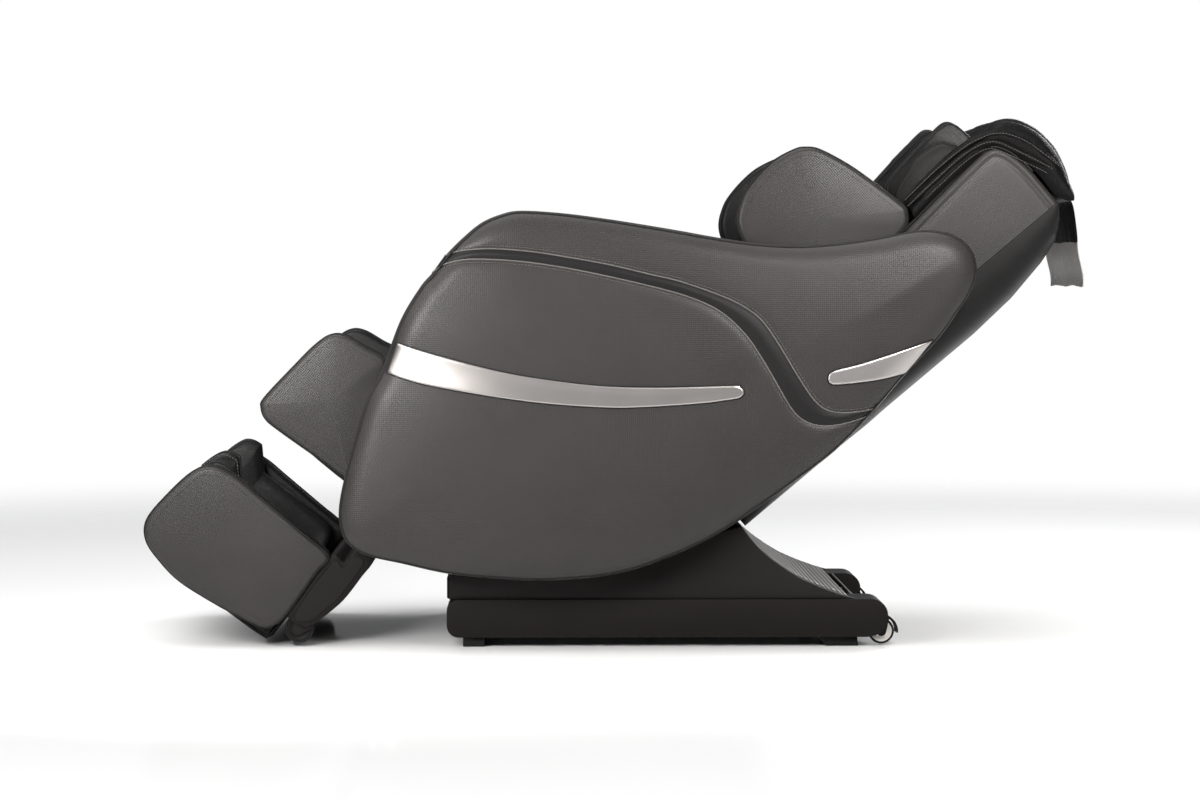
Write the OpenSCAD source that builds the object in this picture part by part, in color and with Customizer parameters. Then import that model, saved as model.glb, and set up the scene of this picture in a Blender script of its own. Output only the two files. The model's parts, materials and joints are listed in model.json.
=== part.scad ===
// Reclining massage chair, shown laid back with the leg rest extended.
// X runs from the feet (-X) to the head (+X), Y across, Z up from the floor.

/* [Overall] */
// Inner face of each arm, from the middle plane
arm_in = 305; // [290:1:330]
// Thickness of each arm
arm_w = 95; // [80:1:110]
// How far the base skirts stay inside the arms' inner faces
base_inset = 15; // [13:1:25]

/* [Angles] */
// Backrest angle above the floor at rest
back_angle = 40; // [38:0.5:42]
// Slope of the seat at rest, front end up
seat_angle = 20.4; // [18:0.2:22]
// Leg rest angle from upright at rest
leg_angle = 36.8; // [35:0.2:39]

/* [Seat] */
// Length of the seat cushion
seat_len = 440; // [400:5:450]
// Thickness of the seat cushion
seat_thick = 113; // [100:1:114]
// Rise of the hip bolsters along the seat's sides
bolster_rise = 34; // [0:1:45]
// Thickness of the seat frame's side plates
plate_t = 6; // [4:0.5:6]
// Thickness of the seat pan
pan_t = 3; // [2:0.5:4]

/* [Backrest] */
// Depth from the guide rails back to the shell
shell_room = 60; // [57:1:70]
// Wall of the back shell
shell_wall = 5; // [3:0.5:6]
// Width of each padded wing beside the back cushion
wing_w = 61; // [50:1:75]
// Depth of the back cushion's front below the hip pivot line
pad_front = 25; // [15:1:40]
// Depth of the back cushion's rear below the hip pivot line
pad_rear = 95; // [85:1:100]
// How far each shoulder pad stays outside the back cushion's edge
shoulder_inset = 5; // [2:1:8]
// Thickness of the shoulder pads
shoulder_t = 68; // [50:1:68]

/* [Leg rest] */
// Thickness of the calf and foot side pads
leg_pad_w = 54.5; // [45:0.5:65]
// Length of the telescopic rods
rod_len = 160; // [140:1:165]
// Radius of the telescopic rods
rod_r = 10; // [8:0.5:11]
// Distance of each telescopic rod from the middle plane
rod_y = 150; // [120:1:180]

/* [Pivots] */
// Radius of the hip and knee pins
pin_r = 10; // [8:0.5:12]
// Radius of the tilt shaft
shaft_r = 11; // [9:0.5:13]
// Radial running clearance of pins and rods
run_gap = 0.06; // [0.03:0.01:0.1]
// Clearance between separate pieces that don't fit together
gap = 0.3; // [0.2:0.1:0.5]

/* [Massage unit] */
// Length of the massage carriage
carriage_len = 130; // [110:1:140]
// Radius of the guide rails
rail_r = 8; // [6:0.5:9]
// Distance of each guide rail inside its upright
rail_inset = 30; // [24:1:40]
// Radius of the massage rollers
roller_r = 22; // [18:1:23]
// Width of the massage rollers
roller_w = 26; // [20:1:30]
// Distance of each kneading arm from the middle plane
knead_y = 75; // [65:1:85]

/* [Base] */
// Height of the skirts' top
skirt_top = 88; // [80:1:92]
// Height of the skirts' underside
skirt_low = 18; // [14:1:22]
// Width of each skirt
skirt_w = 100; // [90:1:110]
// Radius of the rear casters' wheels
wheel_r = 24; // [20:1:25]
// Width of the rear casters' wheels
wheel_w = 22; // [18:1:26]
// Radius of the leg casters' wheels
leg_wheel_r = 27; // [22:1:28]
// Width of the leg casters' wheels
leg_wheel_w = 24; // [18:1:26]
// Radius of the casters' axles
axle_r = 4; // [3:0.5:5]

/* [Hidden] */
$fn = 48;
hip = [64, 365];
knee = [-337, 402];
tilt = [-205, skirt_top + 84];
edge_round = 55;
arm_out = arm_in + arm_w;
edge_half = arm_out - 38;
plate_in = arm_in - plate_t;
lug_t = 10;
lug_out = plate_in - 1.5;
lug_in = lug_out - lug_t;
back_half = lug_in - 1.5;
pad_half = back_half - wing_w;
shoulder_in = pad_half + shoulder_inset;
seat_half = lug_in - 3.5;
leg_half = plate_in - 1;
leg_pad_in = leg_half - leg_pad_w;
seat_front_half = leg_pad_in - 3.5;
base_half = arm_in - base_inset;
upright_w = 25;
upright_in = pad_half - upright_w;
rail_y = upright_in - rail_inset;
carriage_half = upright_in - 8;
roller_n = -pad_rear - 30;
axle_n = roller_n - 23;
rail_n = roller_n - 47;
back_depth = shell_room - rail_n;
recline_lever = seat_thick + 37;
socket_z = skirt_top - 14;
recline_half_swing = 8;

steel = "#3a3c3f";
black = "#1d1d1f";
grey = "#55534f";
silver = "#b9b7b3";

// ---- outlines and curves -------------------------------------------------

// points on an arc about c, from angle a0 to a1
function arc(c, r, a0, a1, n = 8) =
  [for (i = [0:n]) c + r * [cos(a0 + (a1 - a0) * i / n), sin(a0 + (a1 - a0) * i / n)]];

// one point of the smooth curve through p0 p1 p2 p3, between p1 and p2
function spline_at(p0, p1, p2, p3, t) =
  0.5 * (2 * p1 + (p2 - p0) * t + (2 * p0 - 5 * p1 + 4 * p2 - p3) * t * t
         + (3 * p1 - p0 - 3 * p2 + p3) * t * t * t);

// smooth open curve through pts, with k steps between neighbours
function smooth_open(pts, k = 4) = let (n = len(pts))
  concat([for (i = [0:n - 2], j = [0:k - 1])
    spline_at(pts[max(i - 1, 0)], pts[i], pts[i + 1], pts[min(i + 2, n - 1)], j / k)],
    [pts[n - 1]]);

// smooth closed curve through pts
function smooth_closed(pts, k = 3) = let (n = len(pts))
  [for (i = [0:n - 1], j = [0:k - 1])
    spline_at(pts[(i + n - 1) % n], pts[i], pts[(i + 1) % n], pts[(i + 2) % n], j / k)];

// running length along pts
function run_lengths(pts, i = 0, s = 0) =
  i == len(pts) - 1 ? [s] : concat([s], run_lengths(pts, i + 1, s + norm(pts[i + 1] - pts[i])));

// points at the given shares of the length of pts
function spaced(pts, shares) =
  let (s = run_lengths(pts), total = s[len(s) - 1],
       xs = [for (i = [0:len(pts) - 1]) [s[i], pts[i].x]],
       ys = [for (i = [0:len(pts) - 1]) [s[i], pts[i].y]])
  [for (k = shares) [lookup(total * k, xs), lookup(total * k, ys)]];

// distance from p to the segment a b, and to a closed outline
function seg_dist(p, a, b) =
  let (ab = b - a, t = max(0, min(1, (p - a) * ab / (ab * ab)))) norm(p - a - t * ab);
function outline_dist(p, pts) =
  min([for (i = [0:len(pts) - 1]) seg_dist(p, pts[i], pts[(i + 1) % len(pts)])]);

// round hump: 1 in the middle, 0 at -1 and 1
function hump(u, p = 4) = sqrt(max(0, 1 - pow(abs(u), p)));
// even steps from -1 to 1, closer together near the ends
function edged(n) = [for (i = [0:n]) sin(90 * (2 * i / n - 1))];
function mix(a, b, t) = a + (b - a) * max(0, min(1, t));
function ease(t) = let (c = max(0, min(1, t))) c * c * (3 - 2 * c);

// ---- solid builders ------------------------------------------------------

// closed solid between a front grid P and a back grid Q of the same size
module grid_solid(P, Q) {
  nu = len(P);
  nv = len(P[0]);
  function f(i, j) = i * nv + j;
  function b(i, j) = nu * nv + i * nv + j;
  m = nu - 1;
  n = nv - 1;
  polyhedron(
    points = concat([for (r = P) each r], [for (r = Q) each r]),
    faces = concat(
      [for (i = [0:m - 1], j = [0:n - 1]) each
        [[f(i, j), f(i, j + 1), f(i + 1, j)], [f(i + 1, j), f(i, j + 1), f(i + 1, j + 1)],
         [b(i, j), b(i + 1, j), b(i, j + 1)], [b(i + 1, j), b(i + 1, j + 1), b(i, j + 1)]]],
      [for (i = [0:m - 1]) each
        [[f(i, 0), f(i + 1, 0), b(i, 0)], [f(i + 1, 0), b(i + 1, 0), b(i, 0)],
         [f(i, n), b(i, n), f(i + 1, n)], [f(i + 1, n), b(i, n), b(i + 1, n)]]],
      [for (j = [0:n - 1]) each
        [[f(0, j), b(0, j), f(0, j + 1)], [f(0, j + 1), b(0, j), b(0, j + 1)],
         [f(m, j), f(m, j + 1), b(m, j)], [f(m, j + 1), b(m, j + 1), b(m, j)]]]));
}

// cushion over the steps us and vs, between its rear and its front surface
module cushion_solid(us, vs, rear, front)
  grid_solid([for (u = us) [for (v = vs) rear(u, v)]],
             [for (u = us) [for (v = vs) front(u, v)]]);

// padded side piece: an outline in X and Z, swelling across Y by the rows of
// [scale, distance from the middle plane]
module side_pad(outline, centre, rows) {
  k = len(rows);
  n = len(outline);
  function at(p, y) = [p.x, -y, p.y];
  polyhedron(
    points = concat(
      [for (r = rows) each [for (p = outline) at(centre + r[0] * (p - centre), r[1])]],
      [at(centre, rows[0][1]), at(centre, rows[k - 1][1])]),
    faces = concat(
      [for (j = [0:k - 2], i = [0:n - 1]) let (e = (i + 1) % n) each
        [[j * n + i, (j + 1) * n + i, j * n + e],
         [(j + 1) * n + i, (j + 1) * n + e, j * n + e]]],
      [for (i = [0:n - 1]) let (e = (i + 1) % n) each
        [[k * n, i, e], [k * n + 1, (k - 1) * n + e, (k - 1) * n + i]]]));
}

// flat plate of an X-Z outline, between two distances on the left (-Y) side
module plate(outline, y0, y1) {
  translate([0, -y0, 0]) rotate([90, 0, 0]) linear_extrude(y1 - y0) polygon(outline);
}

// rod across Y, between two distances on the left side
module cross_rod(at, r, y0, y1) {
  translate([at.x, -y0, at.y]) rotate([90, 0, 0]) cylinder(h = y1 - y0, r = r);
}

module on_side(side) {
  if (side == "right") mirror([0, 1, 0]) children();
  else children();
}

module both_sides() {
  children();
  mirror([0, 1, 0]) children();
}

// seat frame of reference: origin at the hip, x rearward along the seat, z up from it
module in_seat() { translate([hip.x, 0, hip.y]) rotate([0, seat_angle, 0]) children(); }
// back frame of reference: x up along the back, z forward from it
module in_back() { translate([hip.x, 0, hip.y]) rotate([0, -back_angle, 0]) children(); }
// leg frame of reference: z up along the shin, x behind the calf
module in_leg() { translate([knee.x, 0, knee.y]) rotate([0, leg_angle, 0]) children(); }

// ---- base ------------------------------------------------------------------

rail_out = base_half - skirt_w;
rail_w = 50;
rail_h = skirt_top - 48;
rail_z = 22;
base_front = -300;
base_rear = 440;
upright_t = 10;
lug_r = 30;

module base_frame() color(steel) difference() {
  union() {
    both_sides() {
      translate([base_front, -rail_out, rail_z]) cube([base_rear - base_front, rail_w, rail_h]);
      plate(concat([[tilt.x - 60, rail_z], [tilt.x + 60, rail_z]],
                   arc(tilt, lug_r, 10, 170)), rail_out - upright_t, rail_out);
    }
    for (x = [base_front, 60, base_rear - rail_h])
      translate([x, -rail_out + 1, rail_z]) cube([rail_h, 2 * rail_out - 2, rail_h]);
    translate([base_front + 1, -rail_out + 1, rail_z])
      cube([base_rear - base_front - 2, 2 * rail_out - 2, 4]);
  }
  cross_rod(tilt, shaft_r + run_gap, -rail_out - 1, rail_out + 1);
}

skirt_front = -317;
skirt_rear = 500;
pocket_x = 450;
caster = [489, wheel_r + 3];
wheel_mid = base_half - 28;

// rounded bar outline of a skirt
function skirt_outline() = concat(
  arc([skirt_front + 22, skirt_low + 22], 22, 180, 270, 5),
  arc([skirt_rear - 38, skirt_low + 38], 38, 270, 360, 8),
  arc([skirt_rear - 30, skirt_top - 30], 30, 0, 90, 7),
  arc([skirt_front + 20, skirt_top - 20], 20, 90, 180, 5));

module skirt(side) color(black) on_side(side) difference() {
  plate(skirt_outline(), rail_out, base_half);
  translate([pocket_x, -base_half + 6, 0]) cube([80, 62, caster.y + wheel_r + 8]);
}

// profile of the rear ramp, from its top to its foot
ramp = [for (p = [[229, 134], [244, 113], [262, 93], [284, 74], [312, 54], [340, 37], [376, 21],
                  [412, 8], [440, 0]]) p + [0, skirt_top]];
cover_line = [for (p = [[190, 124], [150, 108], [60, 80], [-60, 64], [-280, 62], [-305, 56],
                        [-313, 42]]) p + [0, skirt_top]];
cover_t = 12;
side_cover_out = base_half - 8;

module base_cover(side) color(black) on_side(side)
  plate(concat([[skirt_front + 4, skirt_top]], [for (i = [len(ramp) - 1:-1:0]) ramp[i]],
               cover_line),
        side_cover_out - cover_t, side_cover_out);

deck_half = side_cover_out - cover_t - gap;
deck_t = 5;

module rear_deck() color(grey) {
  translate([0, deck_half, 0]) rotate([90, 0, 0]) linear_extrude(2 * deck_half)
    polygon(concat([for (i = [2:len(ramp) - 2]) ramp[i] - [0, 1]], [[428, skirt_top + 2.4]],
                   [[426, skirt_top + gap]],
                   [for (i = [len(ramp) - 3:-1:2]) ramp[i] - [2, 1 + deck_t]]));
  // closing wall under the ramp's foot, with the openings for inlet and switch
  difference() {
    translate([base_rear + gap, -rail_out + gap, rail_z + 4])
      cube([4, 2 * (rail_out - gap), skirt_top - rail_z - 4]);
    translate([base_rear - 5, inlet_y - 14, socket_z - 10]) cube([20, 28, 20]);
    translate([base_rear - 5, switch_y - 5.8, socket_z - 10]) cube([20, 11.6, 20]);
  }
}

module front_cover() color(black)
  translate([skirt_front, -deck_half, skirt_top])
    cube([5, 2 * deck_half, 42]);

foot_front = [-287, -247];
foot_rear = [369, 446];

module base_feet() color(black) both_sides() {
  translate([foot_front[0], -base_half + 10, 0])
    cube([foot_front[1] - foot_front[0], 70, skirt_low]);
  plate([[foot_rear[0] + 18, 0], [foot_rear[1], 0], [foot_rear[1] - 2, skirt_low],
         [foot_rear[0], skirt_low]], base_half - 78, base_half - 12);
}

// fender arc and cheek plates that hold each rear wheel
module caster_forks() color(black) both_sides() {
  plate(concat(arc(caster, wheel_r + 7, -5, 125, 10), arc(caster, wheel_r + 3, 125, -5, 10)),
        wheel_mid - wheel_w / 2 - 6, wheel_mid + wheel_w / 2 + 6);
  for (y = [wheel_mid - wheel_w / 2 - 6, wheel_mid + wheel_w / 2 + 2])
    plate(concat(arc(caster, 9, -90, 0, 4), arc(caster, wheel_r + 5, 60, 120, 6),
                 arc(caster, 9, 180, 270, 4)), y, y + 4);
  cross_rod(caster, axle_r, wheel_mid - wheel_w / 2 - 6, wheel_mid + wheel_w / 2 + 6);
  translate([pocket_x, -wheel_mid - 8, caster.y + wheel_r + 4]) cube([40, 16, 4]);
}

module wheel(at, r, w, mid) {
  difference() {
    cross_rod(at, r, mid - w / 2, mid + w / 2);
    cross_rod(at, axle_r + run_gap, mid - w, mid + w);
    cross_rod(at, r - 4, mid + w / 2 - 1.5, mid + w);
  }
}

module rear_wheel(side) color(silver) on_side(side) wheel(caster, wheel_r, wheel_w, wheel_mid);

tray_z = rail_z + 4;

// half width of what stands on the tray between the rails
tray_half = rail_out - rail_w - 30;

module control_box() color("#6c6f72") difference() {
  translate([-150, -tray_half, tray_z]) cube([180, 2 * tray_half, 86]);
  for (y = [-80:20:80]) translate([-140, y, 108]) cube([160, 8, 5]);
}

module air_pump() color("#44474a") {
  translate([130, -tray_half, tray_z]) cube([170, tray_half + 10, 52]);
  for (x = [170, 255]) translate([x, -50, tray_z + 52]) cylinder(h = 26, r = 34);
  translate([160, 40, tray_z]) cube([90, 60, 44]);
}

inlet_y = -50;
switch_y = 10;

module power_inlet() color(black) difference() {
  translate([base_rear - 16, inlet_y - 13.7, socket_z - 9.7]) cube([22, 27.4, 19.4]);
  translate([base_rear - 10, inlet_y - 11, socket_z - 7]) cube([20, 22, 14]);
}

module power_switch() color(black)
  translate([0, switch_y, socket_z]) rotate([90, 0, 0])
    translate([base_rear + 1, 0, -5.5]) linear_extrude(11)
      polygon([[-4, -8], [4, -8], [8, -9], [6, 0], [5, 8.5], [4, 8], [-4, 8]]);

module tilt_drive() color("#5a5d60") {
  cross_rod(tilt, shaft_r, -arm_in + gap, arm_in - gap);
  difference() {
    union() {
      cross_rod(tilt, 40, rail_out - 80, rail_out - upright_t - gap);
      translate([tilt.x, -rail_out + 44, tilt.y]) cylinder(h = 105, r = 30);
    }
    cross_rod(tilt, shaft_r + run_gap, rail_out - 90, rail_out);
  }
  both_sides() difference() {
    cross_rod(tilt, shaft_r + 7, rail_out + gap, arm_in - plate_t - gap);
    cross_rod(tilt, shaft_r + run_gap, rail_out, arm_in);
  }
}

// ---- seat and arms -----------------------------------------------------------

knee_r = 34;
actuator_drop = recline_lever * cos(recline_half_swing);
rod_eye = recline_lever * sin(recline_half_swing);

module seat_frame() color(steel) {
  both_sides() difference() {
    plate(concat(arc(tilt, lug_r, 200, 320), arc(hip, knee_r, -60, 80), arc(knee, knee_r, 80, 200)),
          plate_in, arm_in);
    cross_rod(tilt, shaft_r + run_gap, plate_in - 1, arm_in + 1);
    cross_rod(hip, pin_r + run_gap, plate_in - 1, arm_in + 1);
    cross_rod(knee, pin_r + run_gap, plate_in - 1, arm_in + 1);
  }
  in_seat() {
    translate([-400, -seat_half, pan_z - pan_t]) cube([400, 2 * seat_half, pan_t]);
    for (x = [-330, -60]) cross_rod([x, pan_z - 14], 12.5, -plate_in - 1, plate_in + 1);
    // bracket that carries the actuator
    difference() {
      translate([-345 + gap, -24, -actuator_drop - 14])
        cube([30, 48, actuator_drop + pan_z - 10 + 14]);
      translate([-346, -17, -actuator_drop - 22]) cube([32, 34, 40]);
    }
  }
}
pan_z = -seat_thick + 8;

function seat_half_at(x) =
  mix(seat_front_half, seat_half, ease((x + seat_len - 70) / 30));
seat_tail = 80;
// height at which the tail passes under the backrest's foot
function tail_top(x) =
  (back_foot - 4 - x * cos(back_angle + seat_angle)) / sin(back_angle + seat_angle);
function seat_top_at(x, v) =
  let (side = ease((abs(v) - 0.66) / 0.14) * ease((x + seat_len - 100) / 60),
       groove = exp(-pow((x + 150) / 10, 2)) + exp(-pow((x + 300) / 10, 2)))
  min(tail_top(x), 8 + bolster_rise * side - 9 * groove * (1 - side));

module seat_cushion() {
  xs = [-1, -0.985, -0.93, -0.75, -0.52, -0.46, -0.4, -0.15, 0.08, 0.14, 0.2, 0.45, 0.66, 0.72,
        0.86, 0.98, 1];
  vs = [-1, -0.985, -0.9, -0.8, -0.66, -0.35, 0.35, 0.66, 0.8, 0.9, 0.985, 1];
  function px(u) = -seat_len + 10 + (u + 1) / 2 * (seat_len - 10 + seat_tail);
  function floor_at(x) = pan_z + gap + max(0, x) * 0.8;
  top = function(u, v) let (x = px(u), h = hump(u, 16) * hump(v, 14))
    [x, v * seat_half_at(x), mix(mix(pan_z + 40, -34, x / seat_tail), seat_top_at(x, v), h)];
  low = function(u, v) let (x = px(u), h = hump(u, 30) * hump(v, 30))
    [x, v * seat_half_at(x), mix(mix(pan_z + 34, -37, x / seat_tail), floor_at(x), h)];
  color(grey) in_seat() cushion_solid(xs, vs, top, low);
}

// side outline of an arm, counter-clockwise from the front piping round the
// bottom to the rear, then forward over the top
arm_low = [[-346, 683], [-361, 666], [-397, 606], [-432, 514], [-459, 462], [-481, 389],
           [-496, 335], [-508, 280], [-510, 240], [-500, 206], [-480, 187], [-449, 174],
           [-398, 163], [-313, 144], [-217, 134], [-144, 131], [-72, 134], [-17, 141],
           [37, 154], [110, 181], [183, 217], [255, 265], [328, 317], [382, 358],
           [419, 392], [450, 424]];
arm_high = [[476, 453], [522, 508], [582, 573], [618, 624], [636, 651], [650, 688],
            [647, 720], [636, 740], [617, 756], [590, 766], [560, 769], [526, 766],
            [472, 755], [399, 745], [327, 741], [254, 745], [182, 755], [109, 768],
            [37, 780], [-35, 791], [-108, 800], [-180, 804], [-216, 797], [-252, 781],
            [-288, 751], [-310, 729]];
// the two piping lines that bound the dark band
piping_low = [[-339, 692], [-318, 706], [-288, 714], [-252, 716], [-180, 712], [-108, 702],
              [-36, 688], [36, 672], [109, 653], [163, 632], [199, 608], [235, 570],
              [272, 512], [303, 458], [322, 433], [345, 419], [375, 414], [415, 420],
              [456, 432]];
piping_high = [[-317, 722], [-288, 731], [-234, 735], [-162, 730], [-90, 719], [-18, 706],
               [54, 689], [109, 676], [181, 651], [225, 630], [258, 604], [290, 558],
               [322, 505], [350, 464], [372, 445], [400, 438], [435, 440], [470, 446]];
// steps along each arm piece, shared so that their edges match
arm_steps = 24;
arm_outline = concat(smooth_open(arm_low, 2), smooth_open(arm_high, 2));

// distance of the arm's outer face from the middle plane
function arm_face(p) =
  let (d = outline_dist(p, arm_outline), k = 1 - min(1, d / edge_round))
  edge_half + (arm_out - 6 - edge_half) * sqrt(max(0, 1 - k * k)) + 6 * min(1, d / 180);

function face_point(p) = [p.x, -arm_face(p), p.y];
function inner_point(p) = [p.x, -arm_in, p.y];

// padded piece of the arm between a lower and an upper line, both front to rear
module arm_piece(low, high, rows) {
  n = arm_steps;
  a = spaced(smooth_open(low), [for (i = [0:n]) i / n]);
  b = spaced(smooth_open(high), [for (i = [0:n]) i / n]);
  function at(i, t) = a[i] + (b[i] - a[i]) * t;
  grid_solid([for (i = [0:n]) [for (t = rows) face_point(at(i, t))]],
             [for (i = [0:n]) [for (t = rows) inner_point(at(i, t))]]);
}

function reversed(pts) = [for (i = [len(pts) - 1:-1:0]) pts[i]];

module side_panel(side) color(grey) on_side(side)
  arm_piece(arm_low, piping_low, [0, 0.03, 0.1, 0.3, 1]);
module arm_band(side) color(black) on_side(side)
  arm_piece(piping_low, piping_high, [0, 1]);
module armrest(side) color(grey) on_side(side)
  arm_piece(piping_high, reversed(arm_high), [0, 0.55, 0.9, 1]);

trim_top = [[-404, 566], [-360, 552], [-288, 532], [-216, 514], [-144, 501], [-36, 488],
            [72, 485], [208, 488], [222, 482]];
trim_low = [[-423, 511], [-360, 491], [-252, 471], [-144, 456], [-36, 448], [36, 448],
            [145, 455], [208, 463], [222, 469]];
rear_trim_top = [[377, 506], [388, 515], [439, 528], [511, 551], [570, 570]];
rear_trim_low = [[376, 497], [388, 489], [439, 493], [479, 499], [522, 509]];
trim_t = 3;

// how far the strip's back stays above the arm's faceted face
trim_seat = 1.15;

// brushed strip that lies on the arm's face
module trim_strip(low, high, shares) {
  n = len(shares) - 1;
  a = spaced(smooth_open(low), shares);
  b = spaced(smooth_open(high), shares);
  function lay(p, d) = [p.x, -arm_face(p) - d, p.y];
  grid_solid([for (i = [0:n]) [for (t = [0, 0.5, 1]) lay(a[i] + (b[i] - a[i]) * t, trim_t)]],
             [for (i = [0:n]) [for (t = [0, 0.5, 1]) lay(a[i] + (b[i] - a[i]) * t, trim_seat)]]);
}

module arm_trim(side) color(silver) on_side(side) {
  // short steps where the face rounds over at the front and at the rear
  trim_strip(trim_low, trim_top, [for (i = [0:24]) pow(i / 24, 1.7)]);
  trim_strip(rear_trim_low, rear_trim_top, [for (i = [0:12]) 1 - pow(1 - i / 12, 1.7)]);
}

key_x = [-190, -90];
key_z = [690, 750];
key_t = 14;
button_r = 9;
button_out = 3;
button_travel = 2;

// control panel on the inner face of the right arm
module keypad() color(black) difference() {
  translate([key_x[0], arm_in - key_t, key_z[0]])
    cube([key_x[1] - key_x[0], key_t, key_z[1] - key_z[0]]);
  for (i = [0:2])
    cross_rod([button_x(i), button_z], button_r + gap, -arm_in + 4, -arm_in + key_t + 1);
}
function button_x(i) = key_x[0] + 24 + 26 * i;
button_z = 720;

module button(i) color(silver)
  cross_rod([button_x(i), button_z], button_r, -arm_in + 4 + button_travel + gap,
            -arm_in + key_t + button_out);

module hinge_pins() color(silver) both_sides()
  for (p = [hip, knee]) cross_rod(p, pin_r, lug_in - 2, arm_in - gap);

module recline_actuator() color("#77797c") in_seat() difference() {
  union() {
    translate([-345, 0, -actuator_drop]) rotate([0, 90, 0]) cylinder(h = 225, r = 16.7);
    translate([-375, -22, -actuator_drop - 26]) cube([30, 44, 52]);
  }
  translate([-300, 0, -actuator_drop]) rotate([0, 90, 0]) cylinder(h = 200, r = 10 + run_gap);
}

module recline_rod() color(silver) in_seat() difference() {
  union() {
    translate([-240, 0, -actuator_drop]) rotate([0, 90, 0]) cylinder(h = 240 - rod_eye - 12, r = 10);
    cross_rod([-rod_eye, -actuator_drop], 17, -9, 9);
  }
  cross_rod([-rod_eye, -actuator_drop], 9.5, -10, 10);
}

// ---- backrest ------------------------------------------------------------------

lever_pin = [-rod_eye * cos(seat_angle) - actuator_drop * sin(seat_angle),
             rod_eye * sin(seat_angle) - actuator_drop * cos(seat_angle)];
// the lever pin in the back's own frame
lever_end = [lever_pin.x * cos(back_angle) + lever_pin.y * sin(back_angle),
             -lever_pin.x * sin(back_angle) + lever_pin.y * cos(back_angle)];
low_tube = [66, rail_n + 39];
stub_tube = [300, rail_n + 39];
top_tube = [790, rail_n + 39];
tube_r = 12.5;
upright_front = -pad_rear - 0.5;
upright_rear = rail_n + 22;
rail_low = 112;
rail_high = 768;
end_t = 8;

module back_frame() color(steel) in_back() difference() {
  union() {
    both_sides() {
      plate(concat(arc([0, 0], lug_r, 60, 230),
                   [[60, low_tube.y - 20], [stub_tube.x, stub_tube.y - 18],
                    [stub_tube.x + 30, stub_tube.y], [stub_tube.x, stub_tube.y + 22]]),
            lug_in, lug_out);
      cross_rod(stub_tube, tube_r, upright_in + 10, lug_out - 1);
      translate([48, -pad_half, upright_rear])
        cube([top_tube.x - 40, upright_w, upright_front - upright_rear]);
      plate([[low_tube.x, low_tube.y + 10], [lever_end.x - 9, lever_end.y + 9],
             [lever_end.x - 9, lever_end.y - 9], [lever_end.x + 9, lever_end.y - 9],
             [low_tube.x + 10, low_tube.y - 10]], 12, 18);
    }
    cross_rod(low_tube, tube_r, -lug_out + 1, lug_out - 1);
    cross_rod(top_tube, tube_r, -upright_in - 5, upright_in + 5);
    for (s = [rail_low, rail_high - end_t])
      translate([s, -upright_in - 1, rail_n - 20]) cube([end_t, 2 * upright_in + 2, 54]);
    for (y = [-rail_y, rail_y]) translate([rail_low + 1, y, rail_n]) rotate([0, 90, 0])
      cylinder(h = rail_high - rail_low - 2, r = rail_r);
    cross_rod(lever_end, 6, -14, 14);
  }
  cross_rod([0, 0], pin_r + run_gap, -lug_out - 1, lug_out + 1);
}

// depth of the shell's rear line, its half width and its front edge along the back
shell_rear = [[40, -232], [600, -231], [697, -224.5], [782, -208.6], [825, -194],
              [852, -167], [866, -141]];
function shell_rear_at(s) = lookup(s, shell_rear) + 232 - back_depth;
function shell_half_at(s) = mix(back_half - 24, back_half, ease((s - 250) / 130));
function shell_edge_at(s) = mix(-165, -130, (s - 335) / 45);
function power_sign(x, e) = sign(x) * pow(abs(x), e);

function shell_point(s, v, wall) =
  let (e = shell_edge_at(s), deep = max(e - shell_rear_at(s) - wall, 2))
  [s, (shell_half_at(s) - wall) * power_sign(sin(90 * v), 0.4),
   e - deep * power_sign(cos(90 * v), 0.55)];

module back_shell() color(black) in_back() {
  ss = [40, 120, 240, 300, 340, 380, 480, 600, 697, 742, 782, 806, 825, 840, 852, 860, 866];
  vs = [-1, -0.93, -0.75, -0.5, -0.25, 0, 0.25, 0.5, 0.75, 0.93, 1];
  grid_solid([for (s = ss) [for (v = vs) shell_point(s, -v, 0)]],
             [for (s = ss) [for (v = vs) shell_point(s, -v, shell_wall)]]);
}

wing_start = 345;
module wing(side) color(grey) on_side(side) in_back()
  plate(concat([[wing_start, -130 + gap + 35], [380, -130 + gap], [867, -130 + gap]],
               [[868, -62], [862, -20], [850, 12], [834, 28]],
               [[700, 20], [611, 11], [500, 4], [380, -4], [wing_start, -8]]),
        pad_half + gap, back_half);

function back_face(s, y) =
  let (side = ease((abs(y) - 110) / 70) * ease((560 - s) / 120),
       lobe = exp(-pow((s - 150) / 70, 2)),
       channel = exp(-pow((s - 250) / 9, 2)) + exp(-pow((s - 400) / 9, 2))
                 + exp(-pow((s - 560) / 9, 2)))
  -pad_front + 26 * side + 9 * lobe * (1 - side) - 8 * channel + 30 * ease((s - 590) / 90);

back_foot = 28;
back_top = 852;
module back_cushion() {
  us = [-1, -0.985, -0.93, -0.72, -0.51, -0.46, -0.41, -0.22, -0.14, -0.098, -0.055, 0.12, 0.25,
        0.29, 0.34, 0.6, 0.96, 1];
  vs = [-1, -0.985, -0.92, -0.8, -0.62, -0.45, 0.45, 0.62, 0.8, 0.92, 0.985, 1];
  function s_at(u) = (back_top + back_foot) / 2 + (back_top - back_foot) / 2 * u;
  front = function(u, v) let (h = hump(u, 14) * hump(v, 12))
    [s_at(u), -v * (pad_half - 1), mix(-70, back_face(s_at(u), v * pad_half), h)];
  rear = function(u, v) let (h = hump(u, 40) * hump(v, 40))
    [s_at(u), -v * (pad_half - 1), mix(-74, -pad_rear, h)];
  color(grey) in_back() cushion_solid(us, vs, rear, front);
}

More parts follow.
